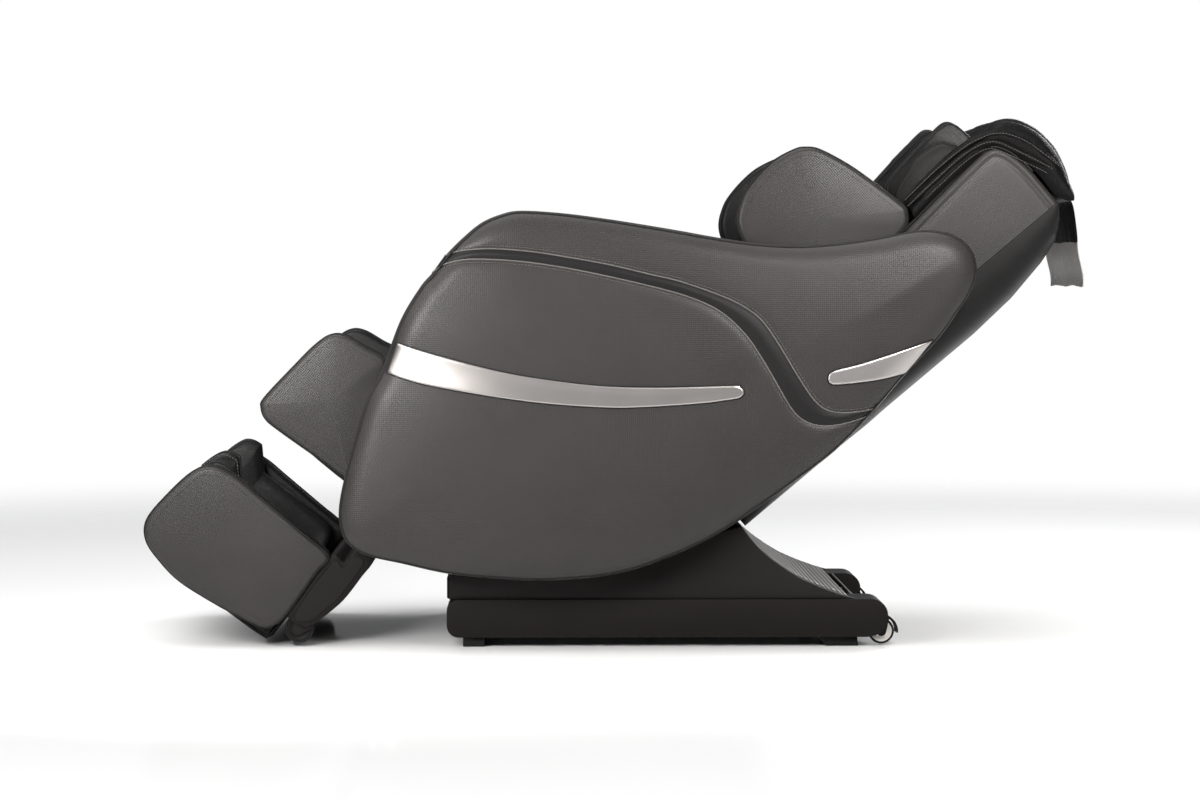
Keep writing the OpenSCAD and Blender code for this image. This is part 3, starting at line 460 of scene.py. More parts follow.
# Colour times a share, with full opacity.
def tint(colour, share=1.0):
    return (*[c * share for c in colour], 1.0)


# Leather: an embossed grid of dots with painted shade in the dots, or a fine grain; a little colour drift, soft
# creases.
def makeLeather(name, colour, roughness, gloss, dots=None, creases=0.0):
    f = Finish(name, Specular_IOR_Level=gloss)
    uv, own = f.place(uv=True), f.place()
    drift = f.noise(own, 9, 2)
    grain = f.noise(own, 900, 2)
    u, v, _ = f.axes(uv)
    tone = f.mix(drift, tint(colour, 0.86), tint(colour, 1.16))
    normal = f.bump(f.noise(own, 34, 3), 0.004 * creases) if creases else None
    if dots:
        k = math.pi / dots
        bead = ((u + v) * k).sin() * ((u - v) * k).sin()  # diamond grid of domes
        bead = (bead * 1.6).clamp()
        # painted shade: each dot is mixed towards half the colour where the bump sinks it
        tone = f.mix(bead * 0.3, tone, tint(colour, 0.5))
        normal = f.bump(bead * -1 + grain * 0.3, 0.00022, normal)
        f.set("Roughness", bead * 0.16 + drift * 0.1 + (roughness - 0.08))
    else:
        pebble = f.node("ShaderNodeTexVoronoi", None, {"Vector": own, "Scale": 620.0}).outputs["Distance"]
        normal = f.bump(Value(f, pebble) * 0.7 + grain * 0.5, 0.00025, normal)
        f.set("Roughness", drift * 0.14 + (roughness - 0.07))
    f.set("Base Color", tone)
    f.set("Normal", normal)
    return f.material


# Moulded plastic or paint: fine spark-eroded grain and faint handling marks.
def makePlastic(name, colour, roughness, grain=0.00012, scale=1400, dust=0.15, metallic=0.0, gloss=0.35):
    f = Finish(name, Metallic=metallic, Specular_IOR_Level=gloss)
    own = f.place()
    marks, fine = f.noise(own, 14, 4, 0.6), f.noise(own, scale, 2)
    f.set("Base Color", f.mix(marks, tint(colour, 1 - dust), tint(colour, 1 + dust)))
    f.set("Roughness", marks * 0.12 + fine * 0.1 + (roughness - 0.1))
    f.set("Normal", f.bump(fine, grain))
    return f.material


# Metal brushed along its length: noise stretched into fine lines.
def makeBrushed(name, colour, roughness, along=(1, 1, 60), depth=0.00004):
    f = Finish(name, Metallic=1.0)
    own = f.place()
    lines = f.noise(own, 60, 4, 0.7, along)
    cloud = f.noise(own, 6, 2)
    f.set("Base Color", f.mix(cloud * 0.5 + lines * 0.5, tint(colour, 0.86), tint(colour)))
    f.set("Roughness", lines * 0.16 + cloud * 0.06 + (roughness - 0.1))
    f.set("Normal", f.bump(lines, depth))
    return f.material


# Thin coated cloth: a plain weave under a satin film.
def makeCloth(name, colour, roughness, weave=0.0016):
    f = Finish(name, Specular_IOR_Level=0.06)
    uv, own = f.place(uv=True), f.place()
    u, v, _ = f.axes(uv)
    k = 2 * math.pi / weave
    threads = (u * k).sin() * (v * k).sin()
    folds, drift = f.noise(own, 70, 3), f.noise(own, 12, 2)
    f.set("Base Color", f.mix(drift, tint(colour, 0.75), tint(colour, 1.25)))
    f.set("Roughness", folds * 0.2 + (roughness - 0.1))
    f.set("Normal", f.bump(threads, 0.0001, f.bump(folds, 0.0016)))
    return f.material


finishes = {
    "greyLeather": makeLeather("greyLeather", (0.0185, 0.0171, 0.0164), dots=0.0036, roughness=0.39, gloss=0.2),
    "blackLeather": makeLeather("blackLeather", (0.006, 0.0057, 0.0057), roughness=0.36, creases=0.12, gloss=0.11),
    "bandLeather": makeLeather("bandLeather", (0.0085, 0.0082, 0.0082), roughness=0.42, gloss=0.09),
    "softGrey": makeLeather("softGrey", (0.0125, 0.0118, 0.0115), dots=0.0036, roughness=0.45, creases=0.2,
                            gloss=0.08),
    "piping": makePlastic("piping", (0.0085, 0.0082, 0.0082), 0.42, 0.00005, gloss=0.1),
    "thread": makePlastic("thread", (0.07, 0.066, 0.062), 0.7, 0.00008),
    "darkThread": makePlastic("darkThread", (0.018, 0.017, 0.016), 0.7, 0.00008),
    "coverCloth": makeCloth("coverCloth", (0.003, 0.0028, 0.0028), 0.42),
    "flapCloth": makeCloth("flapCloth", (0.34, 0.33, 0.32), 0.42),
    "skirtPlastic": makePlastic("skirtPlastic", (0.0076, 0.0066, 0.0064), 0.55, gloss=0.06),
    "coverPlastic": makePlastic("coverPlastic", (0.0086, 0.0076, 0.0074), 0.48, gloss=0.07),
    "shellPlastic": makePlastic("shellPlastic", (0.0085, 0.0082, 0.0082), 0.42, gloss=0.08),
    "deckPlastic": makePlastic("deckPlastic", (0.075, 0.07, 0.067), 0.4),
    "wheelPlastic": makePlastic("wheelPlastic", (0.46, 0.44, 0.42), 0.42),
    "rubber": makePlastic("rubber", (0.008, 0.008, 0.008), 0.6, 0.0002, 500, gloss=0.08),
    "frameSteel": makePlastic("frameSteel", (0.013, 0.013, 0.014), 0.42, 0.00008, 800),
    "boxMetal": makePlastic("boxMetal", (0.05, 0.051, 0.053), 0.45, 0.00008, 700),
    "silver": makeBrushed("silver", (0.33, 0.312, 0.302), 0.33),
    "brightSteel": makeBrushed("brightSteel", (0.55, 0.55, 0.56), 0.28, (60, 1, 60)),
    "castAlloy": makePlastic("castAlloy", (0.42, 0.42, 0.43), 0.45, 0.0002, 300, 0.1, 1.0),
    "buttonPlastic": makePlastic("buttonPlastic", (0.30, 0.30, 0.30), 0.3),
}
print("finishes made:", len(finishes))

# Kept pieces: welded, their edges broken, and finished
bevels = {
    "frameSteel": ("base_frame seat_frame back_frame legrest_frame", 0.0015),
    "skirtPlastic": ("skirt_left skirt_right front_cover caster_forks", 0.003),
    "coverPlastic": ("base_cover_left base_cover_right keypad power_inlet power_switch", 0.0015),
    "rubber": ("base_feet roller_upper_left roller_lower_left roller_upper_right roller_lower_right", 0.002),
    "boxMetal": ("control_box air_pump tilt_drive recline_actuator massage_carriage", 0.002),
    "brightSteel": ("hinge_pins recline_rod lift_screw", 0.0005),
    "castAlloy": ("knead_arm_left knead_arm_right", 0.002),
    "buttonPlastic": ("button_power button_program button_stop", 0.0008),
}


# A kept node: smooth, one finish, welded, with broken edges.
def keepNode(name, finish, width):
    obj = nodes[name]
    shadeSmooth(obj.data)
    obj.data.materials.clear()
    obj.data.materials.append(finishes[finish])
    obj.modifiers.new("weld", "WELD").merge_threshold = weldGap
    edge = obj.modifiers.new("edges", "BEVEL")
    edge.width, edge.segments, edge.limit_method = width, 2, "ANGLE"
    edge.angle_limit, edge.harden_normals, edge.use_clamp_overlap = math.radians(32), True, True


for finish, (names, width) in bevels.items():
    for name in names.split():
        keepNode(name, finish, width)
print("kept nodes finished")

# Arms: three upholstered pieces a side, piped where they meet
arm = {
    "inner": 305, "innerRound": 28, "innerReach": 30,  # face beside the sitter
    "edge": 362, "crown": 24, "crownReach": 40, "belly": 16.5, "bellyReach": 210,
    "groove": 5, "grooveReach": 8, "tuck": (5, 40),
    "middle": (40, 480), "rimIn": 5, "seamIn": 5.5,  # rim piping and rows of stitches
    "low": [(-346, 683), (-361, 666), (-397, 606), (-432, 514), (-459, 462), (-481, 389), (-496, 335),
            (-508, 280), (-510, 240), (-500, 206), (-480, 187), (-449, 174), (-398, 163), (-313, 144),
            (-217, 134), (-144, 131), (-72, 134), (-17, 141), (37, 154), (110, 181), (183, 217),
            (255, 265), (328, 317), (382, 358), (419, 392), (450, 424)],
    "high": [(-310, 729), (-288, 751), (-252, 781), (-216, 797), (-180, 804), (-108, 800), (-35, 791),
             (37, 780), (109, 768), (182, 755), (254, 745), (327, 741), (399, 745), (472, 755),
             (526, 766), (560, 769), (590, 766), (617, 756), (636, 740), (647, 720), (650, 688),
             (636, 651), (618, 624), (582, 573), (522, 508), (476, 453)],
    "pipeLow": [(-339, 692), (-318, 706), (-288, 714), (-252, 716), (-180, 712), (-108, 702), (-36, 688),
                (36, 672), (109, 653), (163, 632), (199, 608), (235, 570), (272, 512), (303, 458),
                (322, 433), (345, 419), (375, 414), (415, 420), (456, 432)],
    "pipeHigh": [(-317, 722), (-288, 731), (-234, 735), (-162, 730), (-90, 719), (-18, 706), (54, 689),
                 (109, 676), (181, 651), (225, 630), (258, 604), (290, 558), (322, 505), (350, 464),
                 (372, 445), (400, 438), (435, 440), (470, 446)],
}
armLow, armHigh = spline(arm["low"], 6), spline(arm["high"], 6)
pipeLow, pipeHigh = spline(arm["pipeLow"], 6), spline(arm["pipeHigh"], 6)
armOutline = np.vstack([armLow, armHigh[::-1], armLow[:1]])
trimLine = np.array([(-412, 538), (-288, 507), (-144, 479), (-36, 468), (72, 467), (208, 476)], float)


# Outer face: edge + crown * quarter circle of the distance to the outline + a slow parabola.
def armFace(x, z):
    d = lineDistance(x, z, armOutline)
    m = 1 - np.minimum(1, d / arm["bellyReach"])
    tuck, width = arm["tuck"]
    dip = tuck * np.exp(-(lineDistance(x, z, trimLine) / width) ** 2)
    return arm["edge"] + arm["crown"] * rounded(d, arm["crownReach"]) + arm["belly"] * (1 - m * m) - dip


# Inner face: inner + round * (1 - quarter circle of the distance to the outline).
def armInner(x, z):
    return arm["inner"] + arm["innerRound"] * (1 - rounded(lineDistance(x, z, armOutline), arm["innerReach"]))


# Dip beside a seam: -groove * exp(-distance / reach).
def grooveAt(x, z, lines):
    d = np.min([lineDistance(x, z, line) for line in lines], 0)
    return -arm["groove"] * np.exp(-d / arm["grooveReach"])


# Points of a side-view line, on the left arm's outer face.
def onArm(line, lift=0.0, lines=()):
    x, z = line[:, 0], line[:, 1]
    y = armFace(x, z) + lift + (grooveAt(x, z, lines) if lines else 0)
    return np.stack([x, -y, z], -1)


# Shares from 0 to 1, closer together at both ends.
def endsClose(count):
    u = np.linspace(0, 1, count)
    return 0.5 * u + 0.25 * (1 - np.cos(math.pi * u))


# Side-view grid: points t of the way from line a to line b, at equal shares of both.
def ruled(a, b, columns, ts):
    shares = endsClose(columns)
    p, q = evenly(a, shares), evenly(b, shares)
    return p[None] + (q - p)[None] * np.asarray(ts)[:, None, None]


edgeRows = [0, 0.0015, 0.004, 0.008, 0.014, 0.022, 0.033, 0.048, 0.068, 0.095, 0.13, 0.17]
seamRows = [0.94, 0.965, 0.98, 0.99, 0.996, 1]
panelRows = edgeRows + list(np.linspace(0.22, 0.9, 13)) + seamRows
bandRows = closeEnds(13)
armPieces = {
    "sidePanel": ("side_panel", armLow, pipeLow, 190, panelRows, [pipeLow], "greyLeather"),
    "armBand": ("arm_band", pipeLow, pipeHigh, 170, bandRows, [pipeLow, pipeHigh], "bandLeather"),
    "armrest": ("armrest", armHigh, pipeHigh, 190, panelRows, [pipeHigh], "greyLeather"),
}
for side in sides:
    for name, (node, a, b, columns, ts, lines, finish) in armPieces.items():
        grid = ruled(a, b, columns, ts)
        x, z = grid[..., 0], grid[..., 1]
        outer = armFace(x, z) + grooveAt(x, z, lines)
        front = mirrored(np.stack([x, -outer, z], -1), side)
        back = mirrored(np.stack([x, -(armInner(x, z) + 0.3), z], -1), side)
        shell(titled(name, side), front, back, "seat", finish, replaced=[node + "_" + side], fill=0.75)
    cords = [mirrored(onArm(line, 0.2, [pipeLow, pipeHigh]), side) for line in (pipeLow, pipeHigh)]
    tubes(titled("armPiping", side), cords, 1.5, "seat", "thread")
    rim = around(armOutline, 420)
    towards = np.array(arm["middle"]) - rim
    rim = rim + towards / np.linalg.norm(towards, axis=1)[:, None] * arm["rimIn"]
    tubes(titled("armEdgePiping", side), [mirrored(onArm(rim, 0.1), side)], 1.9, "seat", "piping", closed=True)
for side in sides:
    rows = []
    for line, way in ((pipeLow, -1), (pipeHigh, 1)):
        beside = line + way * arm["seamIn"] * leftOf(line)
        beside = beside[lineDistance(beside[:, 0], beside[:, 1], armOutline) > 6]
        rows.append(mirrored(onArm(beside, 0.15, [pipeLow, pipeHigh]), side))
    stitches(titled("armStitches", side), rows, "seat", "thread")
print("arms made")

# Brushed trims
trims = {
    "armTrim": ([(-404, 566), (-360, 552), (-288, 532), (-216, 514), (-144, 501), (-36, 488), (72, 485),
                 (208, 488), (217, 486), (223, 481), (225.5, 476)],
                [(-423, 511), (-360, 491), (-252, 471), (-144, 456), (-36, 448), (36, 448), (145, 455),
                 (208, 463), (217, 465.5), (223, 470.5), (225.5, 475.6)]),
    "rearTrim": ([(377, 506), (388, 515), (439, 528), (511, 551), (570, 570)],
                 [(376, 497), (388, 489), (439, 493), (479, 499), (522, 509)]),
}
trimRise, trimEdge = 3.2, 4
for side in sides:
    for name, (top, low) in trims.items():
        lowLine, topLine = spline(low, 8), spline(top, 8)
        grid = ruled(lowLine, topLine, 90, closeEnds(17))
        x, z = grid[..., 0], grid[..., 1]
        rim = np.vstack([lowLine, topLine[::-1], lowLine[:1]])
        rise = trimRise * rounded(lineDistance(x, z, rim), trimEdge)
        face = armFace(x, z)
        front = mirrored(np.stack([x, -(face + rise), z], -1), side)
        back = mirrored(np.stack([x, -(face - 1.0), z], -1), side)
        shell(titled(name, side), front, back, "seat", "silver", replaced=["arm_trim_" + side])
        tubes(titled(name + "Rim", side), [mirrored(onArm(around(rim, 260), 1.2), side)], 1.1, "seat", "piping",
              sides=6, closed=True, slot="silver_trim")
print("trims made")

# Round-edged plates and pads


# Closed side-view loop moved inwards: each point along the mean of its two edge normals.
def inset(loop, depth):
    ahead, behind = np.roll(loop, -1, 0) - loop, loop - np.roll(loop, 1, 0)
    normal = np.stack([-(ahead + behind)[:, 1], (ahead + behind)[:, 0]], -1)
    area = np.sum(loop[:, 0] * np.roll(loop[:, 1], -1) - np.roll(loop[:, 0], -1) * loop[:, 1])
    normal *= np.sign(area) / (np.linalg.norm(normal, axis=1)[:, None] + 1e-9)
    return loop + normal * depth


# Rings of a pad from its y0 face to its y1 face: scaled loops on the two crowned faces,
# quarter circles at the edges, and a drawn-in wall between them.
def padRings(loop, centre, y0, y1, edge, crown, waist=2.0):
    c = np.asarray(centre, float)
    way = 1 if y1 > y0 else -1
    face = np.array([0.02, 0.15, 0.35, 0.55, 0.72, 0.85, 0.93])
    turn = np.linspace(0, math.pi / 2, 7)
    rings = []

    def add(shape, y):
        rings.append(atY(shape, y))

    core = inset(loop, edge)
    for s in face:  # first face, from its middle out
        add(c + (core - c) * s, y0 + way * crown[0] * s * s)
    for a in turn:
        add(inset(loop, edge * (1 - math.sin(a))), y0 + way * (crown[0] + edge * (1 - math.cos(a))))
    low, high = y0 + way * (crown[0] + edge), y1 - way * (crown[1] + edge)
    for t in np.linspace(0, 1, 9)[1:-1]:
        add(inset(loop, waist * math.sin(math.pi * t) ** 2), low + (high - low) * t)
    for a in turn[::-1]:
        add(inset(loop, edge * (1 - math.sin(a))), y1 - way * (crown[1] + edge * (1 - math.cos(a))))
    for s in face[::-1]:
        add(c + (core - c) * s, y1 - way * crown[1] * s * s)
    return np.array(rings)


shoulder = {
    "outline": [(376, 5), (400, -1.2), (500, 5), (600, 11.6), (626, 18), (640, 34), (643, 50), (631, 103),
                (614, 168), (591, 225), (573, 246), (555, 256), (514, 264), (463, 260), (421, 247),
                (385, 215), (368, 150), (366, 60)],
    "centre": (505, 130), "in": 230, "out": 297, "edge": 9, "crown": (4, 6), "grey": 250,
}
legPads = {
    "calfPad": ("calf_pad", [(-60, -60), (-60, -166), (-90, -170), (-138, -170), (-228, -172), (-262, -170),
                             (-281, -158), (-287, -140), (-278, -60), (-270, -6), (-258, 26), (-235, 40),
                             (-195, 45), (-151, 48), (-128, 10)], (-185, -70), "legrest"),
    "footPad": ("foot_pad", [(-18, -306), (-60, -300), (-88, -299), (-184, -293), (-240, -290),
                             (-287, -299), (-312, -330), (-325, -400), (-326, -452), (-304, -482),
                             (-262, -497), (-211, -505), (-140, -500), (-83, -492), (-38, -482), (-22, -462),
                             (-17, -430), (-19, -344)], (-180, -400), "footrest"),
}
legPad = {"in": 243.5, "out": 298, "edge": 8, "crown": (2, 5), "grey": 286.5}


# Rounded pad on a closed outline, piped along both edges, with a row of stitches on its face.
def sidePad(name, side, node, outline, centre, sizes, body):
    loop = around(spline(outline, 8, closed=True), 200)
    rings = mirrored(padRings(loop, centre, -sizes["in"] - 0.3, -sizes["out"], sizes["edge"], sizes["crown"]), side)
    way = 1 if side == "left" else -1
    ringSolid(titled(name, side), rings, body, "greyLeather", inner="blackLeather",
              innerTest=lambda c: -c[:, 1] * way < sizes["grey"], replaced=[node + "_" + side], fill=0.8)
    crownIn, crownOut = sizes["crown"]
    line = inset(loop, -0.4)
    cords = [mirrored(atY(line, -y), side) for y in (sizes["out"] - sizes["edge"] - crownOut + 1,
                                                    sizes["in"] + sizes["edge"] + crownIn - 1)]
    tubes(titled(name + "Piping", side), cords, 1.8, body, "piping", closed=True)
    core = inset(loop, sizes["edge"])
    line = centre + (core - centre) * 0.955
    row = atY(line, -(sizes["out"] - crownOut * 0.9))
    stitches(titled(name + "Stitches", side), [mirrored(row, side)], body, "darkThread")


for side in sides:
    sidePad("shoulderPad", side, "shoulder_pad", shoulder["outline"],
            shoulder["centre"], shoulder, "backrest")
    for name, (node, outline, centre, body) in legPads.items():
        sidePad(name, side, node, outline, centre, legPad, body)
print("side pads made")

# Backrest: moulded shell, wings, cover
back = {
    "half": 286, "wall": 5,
    "rear": [(40, -232), (600, -231), (697, -224.5), (782, -208.6), (825, -194), (852, -167), (866, -141)],
}


# Shell section at height s: half width * sin(90v)^0.4 across, depth * cos(90v)^0.55 behind its edge.
def shellPoints(s, v, wall):
    rear = np.interp(s, *np.array(back["rear"]).T)
    half = back["half"] - 24 * (1 - ease((s - 250) / 130)) - wall
    edge = -165 + 35 * np.clip((s - 335) / 45, 0, 1)
    deep = np.maximum(edge - rear - wall, 2)
    a = v * math.pi / 2
    across = half * np.sign(np.sin(a)) * np.abs(np.sin(a)) ** 0.4
    return np.stack(np.broadcast_arrays(s, -across, edge - deep * np.abs(np.cos(a)) ** 0.55), -1)


v = sineSpaced(81)[None]
s = np.concatenate([np.linspace(40, 780, 70), np.linspace(788, 866, 22)])[:, None]
shell("backShell", shellPoints(s, v, 0), shellPoints(s, v, back["wall"]), "backrest", "shellPlastic",
      replaced=["back_shell"])

wing = {
    "rear": [(345, -94.7), (380, -129.7), (867, -129.7)],
    "front": [(345, -8), (362, -5.5), (380, -4), (500, 4), (611, 11), (700, 20), (780, 27), (830, 28),
              (850, 12), (862, -20), (867, -58)],
    "in": 225.3, "out": 286, "edge": 11, "inEdge": 6, "seam": 18, "rowIn": 9,
}


wingRear = evenly(np.array(wing["rear"], float), endsClose(120))
wingEdge = spline(wing["front"], 8)
wingFront = evenly(wingEdge, endsClose(120))
grid = wingRear[None] + (wingFront - wingRear)[None] * closeEnds(44)[:, None, None]
x, z = grid[..., 0], grid[..., 1]
d = lineDistance(x, z, np.vstack([wingRear[:1], wingFront, wingRear[-1:]]))
seam = 2.5 * np.exp(-np.abs(d - wing["seam"]) / 3)
outer = wing["out"] - wing["edge"] * (1 - rounded(d, wing["edge"])) - seam
inner = wing["in"] + 0.3 + wing["inEdge"] * (1 - rounded(d, wing["inEdge"]))
row = wingEdge - wing["rowIn"] * leftOf(wingEdge)
rowY = wing["out"] - wing["edge"] * (1 - rounded(wing["rowIn"], wing["edge"]))
for side in sides:
    shell(titled("wing", side), mirrored(np.stack([x, -outer, z], -1), side),
          mirrored(np.stack([x, -inner, z], -1), side), "backrest", "greyLeather", replaced=["wing_" + side],
          fill=0.8)
    stitches(titled("wingStitches", side), [mirrored(atY(row, -rowY)[6:-6], side)], "backrest", "darkThread")
    cord = atY(wingEdge + (0, 0.5), -(wing["out"] - 4))
    tubes(titled("wingPiping", side), [mirrored(cord, side)], 2.0, "backrest", "piping")

# Cloth sleeves that close the slot between the back cushion and the arms
sleeve = {"s": (48, 343), "y": (224, 284), "n": (-104, -88)}
(low, high), (deep, near) = sleeve["s"], sleeve["n"]
loop = around(np.array([(low, near), (high, near), (high, deep), (low, deep)], float), 120)[None]
along = np.linspace(0, 1, 40)[:, None]
width = sleeve["y"][0] + (sleeve["y"][1] - sleeve["y"][0]) * along
puff = 5 * hump(2 * along - 1, 4) + 2 * wrinkle(along * 60, loop[..., 0], 31, 30, 26, 0.5)
level = loop[..., 1]
height = np.where(level > (deep + near) / 2, level + puff - 5, level - puff + 5)
rings = np.stack(np.broadcast_arrays(loop[..., 0], -width, height), -1)
for side in sides:
    ringSolid(titled("sideSleeve", side), mirrored(rings, side), "backrest", "coverCloth", fill=0.4)
print("shell, wings and sleeves made")

hood = {
    "half": 284, "cheek": 193,
    "out": [(644, 50), (700, 59), (776, 65), (820, 62), (850, 58), (880, 58), (903, 45), (922, 22),
            (933, -8), (935, -48), (926, -90), (914, -122), (907, -155), (881, -198), (852, -239),
            (833, -275), (819, -293)],
    "in": [(644, 16.5), (700, 22), (776, 26.5), (820, 29), (838, 29), (852, 16), (861, -4), (867, -30),
           (871, -60), (871, -90), (871, -115), (880, -138), (896, -157), (876, -196), (848.5, -236.5),
           (830, -272.5), (816, -290.5)],
    "start": 4.4, "stop": 11.55, "rows": 130, "length": 420,  # spans in steps of the lines above
    "bands": (
        ([(648, 42), (700, 46), (776, 49), (815, 45), (838, 37), (852, 24), (868, -8), (885, -46),
          (899, -80)], 6.5),
        ([(651, 54), (726, 60), (796, 59), (836, 51), (857, 42), (876, 24), (893, -8), (904, -48),
          (911, -82)], 5.0),
        ([(668, 31), (720, 34), (776, 37), (812, 34), (834, 25), (848, 4), (864, -30), (880, -64),
          (888, -84)], 3.5)),
    "bandHalf": 281,
}
flap = {"half": 179, "steps": (11.2, 16), "size": (0.358, 0.19), "thick": (0.4, 0.6), "darkAbove": 862}


# Points along a side-view line between two of its own step numbers, one strip for each y.
def hoodPoints(line, y, start, stop, rows):
    curve = spline(line, 12)
    t = np.linspace(0, 1, rows)[:, None]
    at = (start + (stop - start) * t + 0 * y) * 12
    low = np.clip(at.astype(int), 0, len(curve) - 2)
    part = (at - low)[..., None]
    p = curve[low] * (1 - part) + curve[low + 1] * part
    return np.stack([p[..., 0], np.broadcast_to(y, p.shape[:2]), p[..., 1]], -1)


y = sineSpaced(161, 0.98)
y = y / y[-1] * hood["half"]
a = np.abs(y)
start = hood["start"] * (1 - ease((a - hood["cheek"]) / 9))
inside, outside = (hoodPoints(hood[line], y, start, hood["stop"], hood["rows"]) for line in ("in", "out"))
thick = np.linalg.norm(outside - inside, axis=2)
cheekRound = 0.42 + 0.58 * np.sqrt(np.clip(1 - (np.maximum(a - 236, 0) / 48.5) ** 2.2, 0, 1))
u = np.linspace(0, 1, hood["rows"])[:, None]
along, columns = np.broadcast_arrays(u * hood["length"], y[None])
fold = (2.6 * np.clip(wrinkle(along, columns, 7, 60, 80, 0.4), 0, 1.4)
        + 1.5 * np.clip(wrinkle(along, columns, 8, 70, 38, 1.3), 0, 1.4))
hem = 3.0 * bell(a - 262, 3.5)[None] + 3.0 * bell(u * hood["length"] - 24, 3.5)
reach = cheekRound[None] * hump(2 * u - 1, 22) - (fold + hem) / thick
outside = inside + (outside - inside) * np.maximum(reach, 0.05)[..., None]
shell("headHood", outside, inside, "backrest", "coverCloth", replaced=["head_cover"], fill=0.5)
for side in sides:  # folded bands along the hood's side edge, with their rows of stitches
    rows = []
    for number, (line, radius) in enumerate(hood["bands"], 1):
        curve = spline(line, 14)
        n = np.arange(len(curve))
        taper = 0.3 + 0.7 * ease(np.minimum(n, n[::-1]) / 12)
        width = radius * taper * (1 + 0.14 * np.sin(n * 0.37) * np.sin(n * 0.11 + 1))
        rows.append(mirrored(atY(curve, -hood["bandHalf"] - width - 0.1), side))
        cord = mirrored(atY(curve, -hood["bandHalf"]), side)
        tubes(titled(f"hoodFold{number}", side), [cord], width, "backrest", "coverCloth", sides=14)
    stitches(titled("hoodStitches", side), rows, "backrest", "thread", slot="cover_fabric")

y = np.linspace(-1, 1, 91) * flap["half"]
flapLine = np.array([(p[0] + q[0], p[1] + q[1]) for p, q in zip(hood["in"], hood["out"])]) / 2
t = np.linspace(0, 1, 60)[:, None]
drop = hoodPoints(flapLine, y, *flap["steps"], 60)
ripple = 2.2 * np.sin(y / 27 + 1.1)[None] * ease(t * 1.2)
crease = 1.6 * wrinkle(t * 170 + 0 * y[None], y[None] + 0 * t, 11, 50, 45, 0.25)
drop[..., 2] -= np.minimum(ripple + crease, 5) * 0.75
shift = np.array([flap["thick"][0], 0, -flap["thick"][1]])
piece = shell("hoodFlap", drop + shift, drop - shift, "backrest", "coverCloth", inner="flapCloth",
              innerTest=lambda c: c[:, 0] < flap["darkAbove"], replaced=["head_cover"])
print("hood and flap made")


# Cushions: the frame's soft solids, swollen by cloth pressure, then sewn


# Object's mesh with its modifiers worked in, and the modifiers gone.
def applied(obj):
    graph = bpy.context.evaluated_depsgraph_get()
    graph.update()
    mesh = bpy.data.meshes.new_from_object(obj.evaluated_get(graph))
    obj.modifiers.clear()
    obj.data = mesh
    return mesh


clothFrames = 20


# Merged copy of a CAD solid, remeshed and inflated; a point moves by freely(local) of at most cap.
def swell(node, name, place, voxel, cap, freely, finish):
    mesh = nodes[node].data.copy()
    cleanMesh(mesh, 0.0001)
    obj = linked(name, mesh)
    grid = obj.modifiers.new("voxels", "REMESH")
    grid.mode, grid.voxel_size = "VOXEL", voxel
    smooth = obj.modifiers.new("smooth", "SMOOTH")
    smooth.factor, smooth.iterations = 0.5, 6
    rest = coordinates(applied(obj))
    local = toLocal(rest / mm, place)
    cloth = obj.modifiers.new("air", "CLOTH")
    cloth.settings.use_pressure = True
    cloth.settings.uniform_pressure_force = 4
    cloth.settings.effector_weights.gravity = 0
    cloth.settings.quality = 4
    cloth.point_cache.frame_start, cloth.point_cache.frame_end = 1, clothFrames
    scene = bpy.context.scene
    for step in range(1, clothFrames + 1):
        scene.frame_set(step)
    air = coordinates(applied(obj))
    scene.frame_set(1)
    moved = air - rest
    length = np.linalg.norm(moved, axis=1)[:, None] + 1e-9
    moved *= np.minimum(1, cap * mm / length)
    local = local + (toLocal((rest + moved) / mm, place) - local) * freely(local)[:, None]
    moveTo(obj.data, toWorld(local, place) * mm)
    fine = obj.modifiers.new("fine", "SUBSURF")
    fine.levels = fine.render_levels = 1
    applied(obj)
    obj.data.materials.clear()
    obj.data.materials.append(finishes[finish])
    shadeSmooth(obj.data)
    return obj


# Moves every point along its own normal by -inward(local) millimetres, then remakes its texture plane.
def sculpt(obj, place, inward):
    co, normal = coordinates(obj.data), coordinates(obj.data, "normal")
    local = toLocal(co / mm, place)
    co -= normal * inward(local)[:, None] * mm
    moveTo(obj.data, toLocal(co / mm, place) * mm)
    flatUv(obj.data)
    moveTo(obj.data, co)


# Keeps every point between two local corners.
def clampPoints(obj, place, low, high):
    local = toLocal(coordinates(obj.data) / mm, place)
    moveTo(obj.data, toWorld(np.clip(local, low, high), place) * mm)


seatPiece = swell("seat_cushion", "seatCushion", "seat", 0.0075, 14,
                  lambda p: (ease((p[:, 2] + 60) / 60) * ease((285 - np.abs(p[:, 1])) / 24)
                             * ease((60 - p[:, 0]) / 60)),
                  "blackLeather")


# Two channels across the middle, a seam down each side before the bolsters, and loose creases.
def seatSeams(p):
    x, y, z = p.T
    inside = 1 - ease((np.abs(y) - 185) / 12)
    channels = (bell(x + 150, 7) + bell(x + 300, 7)) * inside
    sideSeam = bell(np.abs(y) - 196, 4)
    creases = wrinkle(x, y, 3, 70, 55, 0.9)
    upward = ease((z + 60) / 30)
    return (5 * channels + 3.5 * sideSeam + 1.2 * creases) * upward


sculpt(seatPiece, "seat", seatSeams)
clampPoints(seatPiece, "seat", (-437, -284.4, -105), (90, 284.4, 60))
ride(seatPiece, "seat", ["seat_cushion"])

backPiece = swell("back_cushion", "backCushion", "back", 0.0075, 12,
                  lambda p: ease((p[:, 2] + 75) / 40) * ease((p[:, 0] - 24) / 30), "blackLeather")


